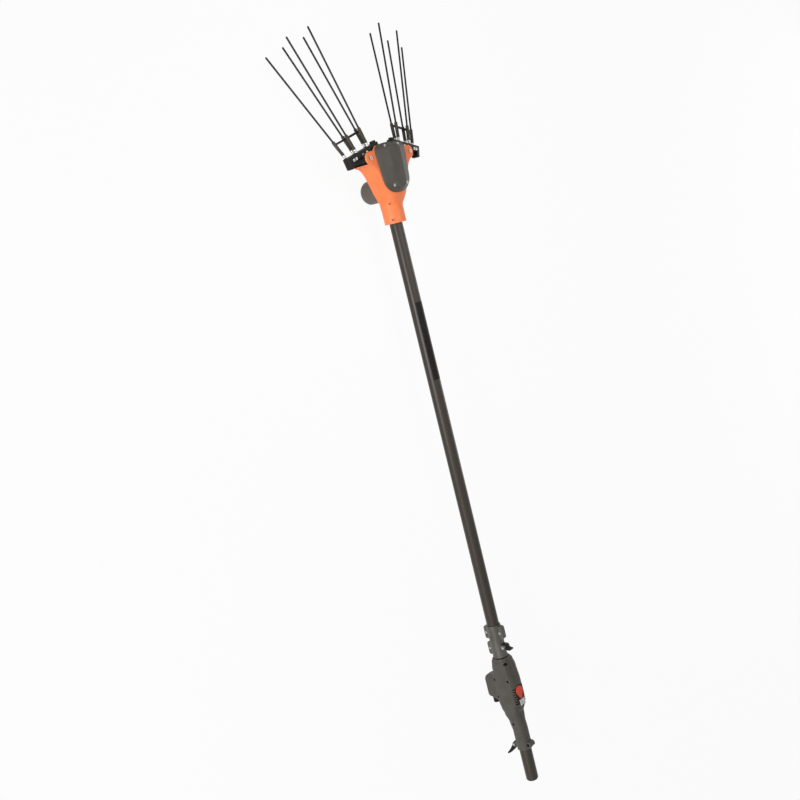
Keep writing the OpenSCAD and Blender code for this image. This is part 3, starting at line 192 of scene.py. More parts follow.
def finish(name, dark, light, rough, metal=0.0, blotch=30.0, grain=1500.0, depth=0.00004, stretch=None,
           wear_and_highlight=None, edge=0.0016, wear_and_highlight_strength=0.35, level=0.3, swing=0.09):
    """Moulded or metal surface: colour that drifts between two tones, a grain in the bump, roughness that
    varies with both, and, where an edge colour is given, paler convex edges that are partly rubbed wear and partly a
    painted highlight along creases and ridges."""
    m = bpy.data.materials.new(name)
    m.use_nodes = True
    tree = m.node_tree
    new, link = tree.nodes.new, tree.links.new
    shader = tree.nodes["Principled BSDF"]
    shader.inputs["Metallic"].default_value = metal
    shader.inputs["Specular IOR Level"].default_value = level
    place = new("ShaderNodeTexCoord").outputs["Object"]
    if stretch:
        mapping = new("ShaderNodeMapping")
        mapping.inputs["Scale"].default_value = stretch
        link(place, mapping.inputs["Vector"])
        place = mapping.outputs["Vector"]

    def noise(scale, detail):
        n = new("ShaderNodeTexNoise")
        n.inputs["Scale"].default_value = scale
        n.inputs["Detail"].default_value = detail
        link(place, n.inputs["Vector"])
        return n.outputs["Fac"]

    def ramp(fac, *stops):
        r = new("ShaderNodeValToRGB")
        for e, (at, colour) in zip(r.color_ramp.elements, stops):
            e.position, e.color = at, (*colour, 1)
        link(fac, r.inputs["Fac"])
        return r.outputs["Color"]

    def remap(value, from_min, from_max, to_min, to_max):
        r = new("ShaderNodeMapRange")
        for socket, number in (("From Min", from_min), ("From Max", from_max), ("To Min", to_min), ("To Max", to_max)):
            r.inputs[socket].default_value = number
        link(value, r.inputs["Value"])
        return r.outputs["Result"]

    def calculate(operation, a, b):
        c = new("ShaderNodeMath")
        c.operation = operation
        link(a, c.inputs[0])
        link(b, c.inputs[1])
        return c.outputs[0]

    broad, fine = noise(blotch, 4), noise(grain, 3)
    speck = new("ShaderNodeMix")
    speck.data_type, speck.blend_type = "RGBA", "OVERLAY"
    speck.inputs[0].default_value = 0.16
    link(ramp(broad, (0.32, dark), (0.68, light)), speck.inputs[6])
    link(fine, speck.inputs[7])
    colour = speck.outputs[2]
    if wear_and_highlight:
        # Paler convex edges: partly rubbed wear, partly a painted highlight standing in for light caught along creases
        # and ridges.
        inside = new("ShaderNodeAmbientOcclusion")
        inside.inside, inside.only_local, inside.samples = True, True, 6
        inside.inputs["Distance"].default_value = edge
        wear_and_highlight_mask = remap(inside.outputs["AO"], 0.92, 0.45, 0.0, wear_and_highlight_strength)
        patches = ramp(noise(220.0, 5), (0.3, (0.25, 0.25, 0.25)), (0.62, (1, 1, 1)))
        over = new("ShaderNodeMix")
        over.data_type = "RGBA"
        over.inputs[7].default_value = (*wear_and_highlight, 1)
        link(calculate("MULTIPLY", wear_and_highlight_mask, patches), over.inputs[0])
        link(colour, over.inputs[6])
        colour = over.outputs[2]
    link(colour, shader.inputs["Base Color"])

    gloss = remap(calculate("ADD", broad, fine), 0.6, 1.4, max(0.04, rough - swing), min(1.0, rough + swing))
    link(gloss, shader.inputs["Roughness"])
    bump = new("ShaderNodeBump")
    bump.inputs["Strength"].default_value = 0.6
    bump.inputs["Distance"].default_value = depth
    link(fine, bump.inputs["Height"])
    link(bump.outputs["Normal"], shader.inputs["Normal"])
    return m


DRAWN = (1.5, 60.0, 60.0)
look_of = {slot: finish(slot, **values) for slot, values in {
    "orange_shell": dict(dark=(0.90, 0.205, 0.062), light=(0.96, 0.245, 0.085), rough=0.46, grain=1300,
                         wear_and_highlight=(1.0, 0.5, 0.27), wear_and_highlight_strength=0.5),
    # Its paler convex edges also paint highlights along the ridge creases, besides wear.
    "cover_grey": dict(dark=(0.056, 0.05, 0.042), light=(0.076, 0.068, 0.058), rough=0.46, grain=1100,
                       depth=0.00006, wear_and_highlight=(0.24, 0.21, 0.18), wear_and_highlight_strength=0.75, level=0.25),
    # Its strong, paler convex edges also paint the highlight along the shoulder crease, besides wear.
    "handle_grey": dict(dark=(0.07, 0.062, 0.053), light=(0.093, 0.083, 0.072), rough=0.48, grain=900,
                        depth=0.00007, wear_and_highlight=(0.34, 0.31, 0.28), edge=0.0011, wear_and_highlight_strength=0.8, level=0.2),
    "black_plastic": dict(dark=(0.006, 0.005, 0.004), light=(0.012, 0.01, 0.008), rough=0.46, grain=1400,
                          wear_and_highlight=(0.07, 0.063, 0.057), wear_and_highlight_strength=0.5, level=0.15),
    "pole_metal": dict(dark=(0.036, 0.029, 0.023), light=(0.056, 0.046, 0.038), rough=0.32, blotch=0.7,
                       grain=16.0, depth=0.00001, stretch=DRAWN, swing=0.07, level=0.22),
    "inner_metal": dict(dark=(0.1, 0.088, 0.077), light=(0.15, 0.134, 0.118), rough=0.32, metal=0.7, blotch=0.7,
                        grain=16.0, depth=0.00001, stretch=DRAWN, swing=0.07),
    "steel": dict(dark=(0.38, 0.37, 0.35), light=(0.55, 0.54, 0.52), rough=0.32, metal=1.0, blotch=160,
                  grain=2600, depth=0.00002),
    # Blackened steel, made near black: partly its finish, partly painted shade so the screws in their recesses read as
    # dark holes.
    "dark_steel": dict(dark=(0.003, 0.003, 0.003), light=(0.009, 0.008, 0.007), rough=0.5, blotch=160,
                       grain=2600, depth=0.00002, level=0.1),
    "motor_metal": dict(dark=(0.098, 0.084, 0.073), light=(0.13, 0.114, 0.1), rough=0.44, metal=0.1, grain=1000,
                        depth=0.00006, wear_and_highlight=(0.28, 0.25, 0.22), wear_and_highlight_strength=0.5, level=0.25),
    "motor_core": dict(dark=(0.3, 0.28, 0.26), light=(0.42, 0.4, 0.37), rough=0.4, metal=0.9, blotch=80,
                       grain=700, depth=0.00005),
    "gear_plastic": dict(dark=(0.62, 0.58, 0.49), light=(0.72, 0.69, 0.6), rough=0.38,
                         wear_and_highlight=(0.5, 0.45, 0.36), wear_and_highlight_strength=0.4),
    "bronze": dict(dark=(0.42, 0.25, 0.08), light=(0.52, 0.34, 0.12), rough=0.36, metal=1.0, blotch=200, grain=3000),
    "carbon": dict(dark=(0.006, 0.005, 0.005), light=(0.015, 0.013, 0.012), rough=0.36, blotch=6.0, grain=90.0,
                   depth=0.00002, stretch=(3.0, 40.0, 40.0), level=0.25),
    "comb_black": dict(dark=(0.009, 0.008, 0.007), light=(0.018, 0.016, 0.013), rough=0.46, grain=1200,
                       depth=0.00006, wear_and_highlight=(0.11, 0.1, 0.09), wear_and_highlight_strength=0.6, level=0.15),
    "sleeve_grey": dict(dark=(0.05, 0.044, 0.037), light=(0.076, 0.067, 0.057), rough=0.58, grain=1800,
                        depth=0.00006, wear_and_highlight=(0.2, 0.18, 0.16), edge=0.0008, wear_and_highlight_strength=0.4, level=0.15),
    "button_red": dict(dark=(0.88, 0.066, 0.03), light=(0.95, 0.09, 0.044), rough=0.36, grain=1900,
                       depth=0.00002, wear_and_highlight=(0.95, 0.2, 0.12), wear_and_highlight_strength=0.4, level=0.25),
    "window_silver": dict(dark=(0.5, 0.49, 0.475), light=(0.6, 0.59, 0.575), rough=0.26, metal=0.3, blotch=90,
                          grain=2600, depth=0.00001, wear_and_highlight=(0.85, 0.85, 0.84)),
    "label_black": dict(dark=(0.004, 0.003, 0.003), light=(0.008, 0.006, 0.006), rough=0.34, blotch=40,
                        grain=2200, depth=0.00001, wear_and_highlight=(0.06, 0.05, 0.045), edge=0.0006, level=0.08),
    "board_green": dict(dark=(0.02, 0.09, 0.04), light=(0.04, 0.15, 0.07), rough=0.4, blotch=150, grain=2400),
    "lead_black": dict(dark=(0.012, 0.011, 0.01), light=(0.02, 0.018, 0.017), rough=0.5, grain=1800),
    "rubber_black": dict(dark=(0.012, 0.01, 0.009), light=(0.022, 0.019, 0.017), rough=0.66,
                         depth=0.00007, wear_and_highlight=(0.08, 0.072, 0.065), wear_and_highlight_strength=0.4, level=0.15),
}.items()}
clamp_look = finish("clamp_casting", (0.085, 0.077, 0.068), (0.115, 0.105, 0.095), 0.38, metal=0.25, grain=1000,
                    depth=0.00005, wear_and_highlight=(0.32, 0.29, 0.26), wear_and_highlight_strength=0.7)
# Near-black, dull finish: painted shade, for inserts in the vents and screw seats where only shadow is.
painted_shade_look = finish("vent_shadow", (0.001, 0.001, 0.001), (0.004, 0.003, 0.003), 0.8, grain=1400, level=0.0)


# Mesh tools, in millimetres

def make(bm):
    bmesh.ops.recalc_face_normals(bm, faces=bm.faces[:])
    mesh = bpy.data.meshes.new("solid")
    bm.to_mesh(mesh)
    bm.free()
    solid = bpy.data.objects.new("solid", mesh)
    scene.collection.objects.link(solid)
    return solid


def loft(rings):
    """Quads between rings of equal count, with the two ends capped."""
    bm = bmesh.new()
    loops = [[bm.verts.new(p) for p in ring] for ring in rings]
    count = len(loops[0])
    for a, b in zip(loops, loops[1:]):
        for i in range(count):
            bm.faces.new((a[i], a[(i + 1) % count], b[(i + 1) % count], b[i]))
    bm.faces.new(loops[0][::-1])
    bm.faces.new(loops[-1])
    return make(bm)


def curve(a, middle, b, t):
    return (1 - t) ** 2 * a + 2 * t * (1 - t) * middle + t * t * b


def soften(points, radius, steps=4, closed=True):
    """Round the corners of a 2D outline; a radius may be given for each corner."""
    out, n = [], len(points)
    for i, p in enumerate(points):
        r = radius[i] if isinstance(radius, (list, tuple)) else radius
        if r <= 0 or (not closed and i in (0, n - 1)):
            out.append(tuple(p))
            continue
        here, before, after = Vector(p), Vector(points[i - 1]), Vector(points[(i + 1) % n])
        a = here + (before - here).normalized() * min(r, (before - here).length * 0.48)
        b = here + (after - here).normalized() * min(r, (after - here).length * 0.48)
        out += [tuple(curve(a, here, b, k / steps)) for k in range(steps + 1)]
    return out


def lathe(profile, place, segments=64):
    """Closed solid of revolution about local Z from (radius, height) points; radius 0 is a tip."""
    bm = bmesh.new()
    rows = []
    for r, h in profile:
        if r < 1e-6:
            rows.append([bm.verts.new(place @ Vector((0, 0, h)))])
        else:
            rows.append([bm.verts.new(place @ Vector((r * math.cos(a), r * math.sin(a), h)))
                         for a in (2 * math.pi * k / segments for k in range(segments))])
    ring = profile[0][0] > 1e-6 and profile[-1][0] > 1e-6
    for a, b in list(zip(rows, rows[1:])) + ([(rows[-1], rows[0])] if ring else []):
        for k in range(segments if len(a) + len(b) > 2 else 0):
            corners = [a[k % len(a)], a[(k + 1) % len(a)], b[(k + 1) % len(b)], b[k % len(b)]]
            bm.faces.new(list(dict.fromkeys(corners)))
    return make(bm)


def rod(place, h0, h1, d, edge=0.4, segments=48):
    """Rod along local Z with rounded rims."""
    r = d / 2
    return lathe(soften([(0, h0), (r, h0), (r, h1), (0, h1)], [0, edge, edge, 0], closed=False), place, segments)


def bore(place, h0, h1, d=SCREW_BORE, segments=24):
    """Sharp rod, for cutting."""
    return rod(place, h0, h1, d, 0, segments)


def tube(place, h0, h1, d, hole, edge=0.4, segments=96):
    r, b = d / 2, hole / 2
    return lathe(soften([(b, h0), (r, h0), (r, h1), (b, h1)], edge), place, segments)


def inset(points, by):
    """The outline moved inwards; it runs anticlockwise."""
    out, n = [], len(points)
    for i in range(n):
        a, p, b = Vector(points[i - 1]), Vector(points[i]), Vector(points[(i + 1) % n])
        d0, d1 = (p - a).normalized(), (b - p).normalized()
        n0, n1 = Vector((-d0.y, d0.x)), Vector((-d1.y, d1.x))
        mid = (n0 + n1).normalized()
        out.append(tuple(p + mid * by / max(0.5, mid.dot(n0))))
    return out


def prism(outline, h0, h1, place, edge=0.6, steps=3):
    """Outline in local X and Y, pushed from h0 to h1 along local Z, with rounded rims."""
    area = sum(a[0] * b[1] - b[0] * a[1] for a, b in zip(outline, list(outline[1:]) + [outline[0]]))
    outline = list(outline) if area > 0 else list(outline)[::-1]
    rims = [(edge * (1 - math.sin(t)), edge * (1 - math.cos(t)))
            for t in (math.pi / 2 * k / steps for k in range(steps + 1))]
    rings = [(by, h0 + h) for by, h in rims] + [(by, h1 - h) for by, h in rims[::-1]]
    return loft([[place @ Vector((x, y, h)) for x, y in (inset(outline, by) if by > 1e-9 else outline)]
                 for by, h in rings])


def corners_of(low, high):
    return [(low[0], low[1]), (high[0], low[1]), (high[0], high[1]), (low[0], high[1])]


def slab(low, high, place=Matrix(), edge=0.8):
    """Box with rounded edges."""
    return prism(soften(corners_of(low, high), 1.6 * edge, 3), low[2], high[2], place, edge)


def block(low, high, place=Matrix()):
    """Sharp box, for cutting."""
    return loft([[place @ Vector((x, y, z)) for x, y in corners_of(low, high)] for z in (low[2], high[2])])


def combine(solid, operation, tools):
    """Boolean with each tool in turn; the tools are used up."""
    for tool in tools:
        m = solid.modifiers.new("combine", "BOOLEAN")
        m.operation, m.object, m.solver = operation, tool, "MANIFOLD"
        deps = bpy.context.evaluated_depsgraph_get()
        mesh = bpy.data.meshes.new_from_object(solid.evaluated_get(deps))
        solid.modifiers.clear()
        old, solid.data = solid.data, mesh
        bpy.data.meshes.remove(old)
        bpy.data.meshes.remove(tool.data)
        if not solid.data.vertices:
            raise RuntimeError("nothing is left of a solid after " + operation)
    return solid


def add(solid, *tools):
    return combine(solid, "UNION", tools)


def cut(solid, *tools):
    return combine(solid, "DIFFERENCE", tools)


def copy(solid, place=Matrix()):
    twin = bpy.data.objects.new(solid.name, solid.data.copy())
    twin.data.transform(place)
    if place.determinant() < 0:
        twin.data.flip_normals()
    scene.collection.objects.link(twin)
    return twin


def halves(body, x0, x1, reach, depth, gap):
    """Left and right half of a body, parted along its mid plane."""
    other = copy(body)
    cut(body, block((x0, -reach, -depth), (x1, gap, depth)))
    cut(other, block((x0, -gap, -depth), (x1, reach, depth)))
    return body, other


def join(solids):
    """Several separate solids as one piece."""
    bm = bmesh.new()
    for s in solids:
        bm.from_mesh(s.data)
        bpy.data.meshes.remove(s.data)
    return make(bm)


def piece(solid, name, node, sharp=34, look=None, detail_on=None, slot=None, between=None):
    """Hand a solid over: it stands for a CAD node, or is a detail on one, rides on that node's body or, where
    between is given, stays in the frame without a body, and takes the finish of that node's slot, or the slot or the
    look given."""
    carrier = node or detail_on
    slot = slot or slot_of[carrier]
    solid.name = solid.data.name = name
    bm = bmesh.new()
    bm.from_mesh(solid.data)
    bmesh.ops.remove_doubles(bm, verts=bm.verts[:], dist=0.0005)
    bmesh.ops.dissolve_degenerate(bm, edges=bm.edges[:], dist=0.0005)
    bm.to_mesh(solid.data)
    bm.free()
    solid.data.transform(TO_FRAME)
    solid.data.shade_smooth()
    solid.data.set_sharp_from_angle(angle=math.radians(sharp))
    solid.data.materials.clear()
    solid.data.materials.append(look or look_of[slot])
    if between:
        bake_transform(solid)
    else:
        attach(solid, body_of[carrier])
    if node:
        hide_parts(node)
    return solid


# Poles, lead and spring

def poles():
    piece(tube(ALONG_X, X_POLE, X_POLE_END, POLE_D, POLE_BORE), "main_pole_tube", "main_pole")
    r, slim, hole = POLE_D / 2, POLE_D / 2 - 0.75, POLE_BORE / 2
    shoulder, end = 92, 165
    profile = soften([(hole, 0), (r, 0), (r, shoulder), (slim, shoulder), (slim, end), (hole, end)], 0.3)
    piece(lathe(profile, AT_TAIL, 96), "tail_tube_drawn", "tail_tube")
    plug = hole - 0.05
    cap = soften([(0, -4), (15.5, -4), (15.5, -2), (slim, -2), (slim, 0), (plug, 0), (plug, 14), (0, 14)],
                 [0, 1.2, 0.2, 0.5, 0.3, 0, 0.5, 0], closed=False)
    piece(lathe(cap, AT_TAIL, 72), "tail_cap_plug", "tail_cap")


def coil(turns, radius, wire, start, length, place, sides=8, steps=14):
    """Wire wound round local Z."""
    rings = []
    total = int(turns * steps)
    for k in range(total + 1):
        a, h = 2 * math.pi * k / steps, start + length * k / total
        out = Vector((math.cos(a), math.sin(a), 0))
        run = Vector((-math.sin(a) * radius, math.cos(a) * radius, length / (2 * math.pi * turns))).normalized()
        side = run.cross(out)
        rings.append([place @ (out * radius + Vector((0, 0, h))
                               + wire / 2 * (math.cos(b) * out + math.sin(b) * side))
                      for b in (2 * math.pi * j / sides for j in range(sides))])
    return loft(rings)


def coils():
    start, length = 1068.5, 614
    ends = [tuple(TO_FRAME @ Vector((x, 0, 0))) for x in (start, start + length)]
    piece(coil(62, 9.2, 5.4, start, length, ALONG_X), "coiled_lead_wound", "coiled_lead", 60,
          between=("handle", "pole_head", *ends))
    spring = piece(coil(5, 3.0, 0.95, -16.5, 6.0, AT_BUTTON, 8, 18), "button_spring_wound", "button_spring", 60)
    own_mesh(spring)


# Clamp and cam levers

def lever_solid(length, lean, place):
    """Cam lever: a round hub that tapers along a bent spine to its tip; the pin is along Y."""
    hub_r, tip_r = 7.0, 2.5
    knots = [(0, 0, hub_r), (0.3 * length, 0.5, 6.3), (0.55 * length, 0.2, 5.0), (0.8 * length, -1.8, 3.6),
             (length - tip_r, -4, tip_r)]
    left, right = [], []
    for i, (x, y, r) in enumerate(knots):
        a, b = Vector(knots[max(0, i - 1)][:2]), Vector(knots[min(len(knots) - 1, i + 1)][:2])
        d = (b - a).normalized()
        left.append((x - d.y * r, y + d.x * r))
        right.append((x + d.y * r, y - d.x * r))
    tip, hub = [], []
    base = math.atan2(d.y, d.x)
    for k in range(1, 8):
        a = base - math.pi / 2 + math.pi * k / 8
        tip.append((knots[-1][0] + tip_r * math.cos(a), knots[-1][1] + tip_r * math.sin(a)))
    for k in range(1, 16):
        a = math.pi / 2 + math.pi * k / 16
        hub.append((hub_r * math.cos(a), hub_r * math.sin(a)))
    outline = [right[0]] + soften(right[1:-1], 4, 3, closed=False) + [right[-1]] + tip + [left[-1]] \
        + soften(left[1:-1], 4, 3, closed=False)[::-1] + [left[0]] + hub
    stand = place @ STAND @ Matrix.Rotation(math.pi / 2 + math.radians(lean), 4, "Z")
    return cut(prism(outline, -6, 6, stand, 1.4, 4), bore(place @ ALONG_Y, -12, 12, 5.12, 48))


def lugs(place, depth):
    """Two ears that carry a lever's pin."""
    r, out = 6.5, []
    outline = [(-r, -depth), (r, -depth)] + [(r * math.cos(a), r * math.sin(a))
                                             for a in (math.pi * k / 20 for k in range(21))]
    for side in (-1, 1):
        y0, y1 = sorted((side * 6.5, side * 11.5))
        out.append(prism(outline, -y1, -y0, place @ STAND, 0.7))
    return out


def lever_room(place, depth):
    """Cuts for a lever's hub and for the brake shoe under it."""
    return (block((-7.5, -6.5, -7.5), (7.5, 6.5, 60), place),
            block((-8.05, -6.05, -depth), (8.05, 6.05, 0), place))


def levers_and_clamp():
    piece(lever_solid(23, 25, AT_CLAMP_LEVER), "clamp_lever_cam", "clamp_lever")
    piece(lever_solid(52, 50, AT_TAIL_LEVER), "tail_lever_cam", "tail_lever")

    r, lip, x0, x1 = 20.0, 21.0, X_CLAMP, X_CLAMP + CLAMP_L
    wide, step = POLE_D / 2 + 0.05, INNER_D / 2 + 0.15
    profile = [(step, x0), (lip, x0), (lip, x0 + 5), (r, x0 + 5), (r, x1 - 10), (lip, x1 - 10), (lip, x1 - 5),
               (r, x1 - 5), (r, x1), (wide, x1), (wide, X_POLE), (step, X_POLE)]
    body = lathe(soften(profile, 0.6), ALONG_X, 96)
    ear_z, ear_r = 24.25, 7
    reach = ear_z + ear_r
    ears = ((x1 - 22, 1), (x1 - 22, -1), (x0 + 24, -1))
    outline = soften([(-19, 10), (19, 10), (19, reach), (-19, reach)], [0, 0, ear_r, ear_r], 6)
    for x, up in ears:
        stand = Matrix.Translation((x, 0, 0)) @ STAND @ Matrix.Scale(up, 4, (0, 1, 0))
        add(body, prism(outline, -8, 8, stand, 0.8))
    add(body, *lugs(AT_CLAMP_LEVER, 12))
    cut(body, bore(ALONG_X, X_POLE, x1 + 1, 2 * wide, 96), bore(ALONG_X, x0 - 1, X_POLE + 1, 2 * step, 96),
        *lever_room(AT_CLAMP_LEVER, 26))
    for x, up in ears:
        at = Matrix.Translation((x, 0, up * ear_z)) @ ALONG_Y
        cut(body, bore(at, -30, 30), bore(at, 6.5, 30, SCREW_SEAT, 32))
    left, right = halves(body, x0 - 5, x1 + 5, 60, 60, 0.3)
    piece(left, "clamp_left_casting", "clamp_left_half", look=clamp_look)
    piece(right, "clamp_right_casting", "clamp_right_half", look=clamp_look)


# Handle

def power_ring(x, w, top, low, up_n, down_n, sides):
    """Section across the pole: half width, top and bottom, with its own squareness above and below."""
    mid, half, ring = (top + low) / 2, (top - low) / 2, []
    for k in range(sides):
        a = 2 * math.pi * k / sides
        c, s = math.cos(a), math.sin(a)
        n = up_n if s > 0 else down_n
        ring.append(Vector((x, w * math.copysign(abs(c) ** (2 / n), c),
                            mid + half * math.copysign(abs(s) ** (2 / n), s))))
    return ring


def handle_ring(x, w, top, low, up_n, down_n, crease):
    """Section of the handle: a superellipse that blends, by crease, to upright sides under a crowned roof."""
    mid, half = (top + low) / 2, (top - low) / 2
    brow, brow_w, upright = mid + 0.746 * half, 0.985 * w, 8
    right = [(w, mid + (brow - mid) * k / upright) for k in range(upright)] + [(brow_w, brow)]
    right += [(brow_w * (1 - k / 14), top - (top - brow) * (1 - k / 14) ** 2.6) for k in range(1, 14)]
    roof = right + [(0, top)] + [(-y, z) for y, z in right[::-1]]
    radii = [0] * len(roof)
    radii[upright] = radii[-1 - upright] = 2.4
    ring = []
    for y, z in soften(roof, radii, 4):
        c, s = y / w, (z - mid) / half
        r = (abs(c) ** up_n + abs(s) ** up_n) ** (-1 / up_n)
        pull = 1 - (1 - r) * (1 - crease)
        ring.append(Vector((x, y * pull, mid + (z - mid) * pull)))
    for k in range(1, 60):
        a = math.pi + math.pi * k / 60
        c, s = math.cos(a), math.sin(a)
        r = (abs(c) ** down_n + abs(s) ** down_n) ** (-1 / down_n)
        ring.append(Vector((x, w * r * c, mid + half * r * s)))
    return ring


# Share of the handle's length, half width, top, bottom, squareness above and below, crease
HANDLE_KEYS = (
    (0.0, 21.5, 30.0, -13.0, 2, 2, 0), (0.06, 21.5, 30.0, -13.0, 2, 2, 0), (0.2, 21.5, 30.0, -13.0, 2, 2, 0),
    (0.304, 21.7, 28.5, -18.5, 2, 2, 0), (0.393, 23.4, 27.0, -25.4, 2.7, 2.7, 0.2),
    (0.464, 25.0, 32.8, -30.1, 3.4, 3.4, 0.75), (0.518, 25.6, 38.0, -31.0, 4.4, 4.4, 1),
    (0.596, 26.0, 40.0, -31.0, 5.0, 5.0, 1), (0.732, 26.0, 38.4, -30.1, 5.0, 5.0, 1),
    (0.893, 25.5, 33.2, -27.0, 4.2, 4.2, 0.95), (0.968, 24.4, 28.4, -25.1, 3.4, 3.4, 0.55),
    (1.0, 22.4, 24.4, -22.3, 2.7, 2.7, 0))
# Screws from the left: place along and up, the seat's height, the bore's far end
LEFT_SCREWS = ((361.0, 25.2, 15.6, -14), (311.72, 25.2, 20.8, -14), (311.72, -22.8, 18.72, -14),
               (259.08, -24.0, 18.72, -14), (109.0, 31.5, 9.5, -14), (176.2, 4.8, 17.63, 14.5))


def eased(keys, steps):
    """Smooth blend between keys."""
    out = []
    for a, b in zip(keys, keys[1:]):
        for j in range(steps):
            t = j / steps
            e = t * t * (3 - 2 * t)
            out.append((a[0] + (b[0] - a[0]) * t, *(p + (q - p) * e for p, q in zip(a[1:], b[1:]))))
    return out + [keys[-1]]


def rounded_plan(half_x, half_y, r, steps=8):
    """Rounded rectangle as a loop about the origin, always with the same number of points."""
    out = []
    for sx, sy, a0 in ((1, 1, 0), (-1, 1, 90), (-1, -1, 180), (1, -1, 270)):
        for k in range(steps + 1):
            a = math.radians(a0 + 90 * k / steps)
            out.append((sx * (half_x - r) + r * math.cos(a), sy * (half_y - r) + r * math.sin(a)))
    return out


def controller_box(mid, half_x, half_y, foot, root, r):
    """Box under the handle with a rounded foot; its ends flare out to the root."""
    rings, edge = [], 11
    for k in range(7):
        t = math.pi / 2 * k / 6
        draw = edge * (1 - math.sin(t))
        rings.append((half_x - draw, half_y - draw, max(1.5, r - draw), -foot + edge * (1 - math.cos(t))))
    for k in range(1, 9):
        t = k / 8
        rings.append((half_x + 13 * t ** 1.4, half_y, r, -foot + edge + (foot - edge - root) * t))
    return loft([[Vector((mid + x, y, z)) for x, y in rounded_plan(hx, hy, rr)] for hx, hy, rr, z in rings])


def two_circles(x_big, big, x_small, small, count_big, count_small):
    """Outline round two circles on local X and their tangents."""
    lean = math.asin((big - small) / (x_big - x_small))
    out = []
    for x, r, start, span, count in (
            (x_big, big, -math.pi / 2 - lean, math.pi + 2 * lean, count_big),
            (x_small, small, math.pi / 2 + lean, math.pi - 2 * lean, count_small)):
        for k in range(count + 1):
            a = start + span * k / count
            out.append((x + r * math.cos(a), r * math.sin(a)))
    return out


def drop_plan(l, w):
    """The button's teardrop, with its wide end towards the head."""
    big, small = w / 2, 0.16 * w
    return two_circles(l / 2 - big, big, -l / 2 + small, small, 40, 20)


def panel_plan(grow):
    l, w, tail = 64.0, 35.0, 25.2
    return two_circles(l / 2 - w / 2, w / 2 + grow, (tail - l) / 2, tail / 2 + grow, 36, 36)


def handle_solid():
    """Both shells as one, hollowed, with the seats of what they hold."""
    keys = [(X_HANDLE + k[0] * HANDLE_L, *k[1:]) for k in HANDLE_KEYS]
    body = loft([handle_ring(*k) for k in eased(keys, 7)])
    mid, root = X_HANDLE + 0.675 * HANDLE_L, 24.8
    add(body, controller_box(mid, 34, 21, 66, root, 13))
    boss_x, boss_z, boss_r = 109, 31.5, 8.5
    boss = [(-boss_r, 0), (boss_r, 0)] + [(boss_r * math.cos(a), boss_z + boss_r * math.sin(a))
                                          for a in (math.pi * k / 24 for k in range(25))]
    add(body, prism(boss, -11, 11, Matrix.Translation((boss_x, 0, 0)) @ STAND, 0.9), *lugs(AT_TAIL_LEVER, 14))

    wall = 3
    inner = [(k[0], k[1] - wall, k[2] - wall, k[3] + wall, *k[4:6]) for k in keys[4:-1]]
    cut(body, loft([power_ring(*k, 64) for k in inner]), controller_box(mid, 31, 18, 63, root, 11.5),
        bore(AT_TAIL, 80, 170, 33.8, 96), bore(ALONG_X, 165, 380, INNER_D + 0.1, 96),
        *lever_room(AT_TAIL_LEVER, 27.5), prism(panel_plan(0.05), -3, 40, AT_PANEL, 0, 1),
        bore(AT_INLET, 230, 255, 19.1, 64), bore(AT_TAIL_LEVER @ ALONG_Y, -25, 25, 5.1, 32))
    return body


def handle_shells():
    body = handle_solid()
    well_shades, seat = [], 9.2
    for x, z, y, end in LEFT_SCREWS:
        at = Matrix.Translation((x, 0, z)) @ ALONG_Y
        cut(body, bore(at, end, 60), bore(at, y, 60, seat, 40))
        # Black rings inside the screw seats: painted shade, so the recesses read dark as shadow would make them.
        well_shades.append(tube(at, y + 0.05, y + 2.4, seat - 0.05, 7.7, 0.1, 40))
    at = Matrix.Translation((338.6, 0, 0)) @ ALONG_Y
    cut(body, bore(at, -60, 0), bore(at, -60, -21.32, SCREW_SEAT, 40))
    piece(join(well_shades), "screw_well_shade", None, look=painted_shade_look, detail_on="handle_left_shell", slot="black_plastic")

    # Black inserts just under the vent slots: painted shade, darkening the slots as shadow would.
    vent_shades = []
    vent = soften([(-1.5, -4), (1.5, -4), (1.5, 4), (-1.5, 4)], 1.2, 3)
    for k in range(7):
        for side in (-1, 1):
            at = Matrix.Translation((240.6 + 7.4 * k, side * 21.32, 36)) \
                @ Matrix.Rotation(side * math.radians(34), 4, "X") @ STAND
            cut(body, prism(vent, -3.5, 3.5, at, 0, 1))
            deep, shallow = sorted((side * 1.9, side * 3.45))
            vent_shades.append(prism(inset(vent, 0.05), deep, shallow, at, 0.3, 2))
    piece(join(vent_shades), "vent_painted_shade", None, look=painted_shade_look, detail_on="handle_left_shell", slot="black_plastic")
    left, right = halves(body, 0, 400, 80, 90, 0.12)
    piece(left, "handle_left_moulding", "handle_left_shell", 28)
    piece(right, "handle_right_moulding", "handle_right_shell", 28)


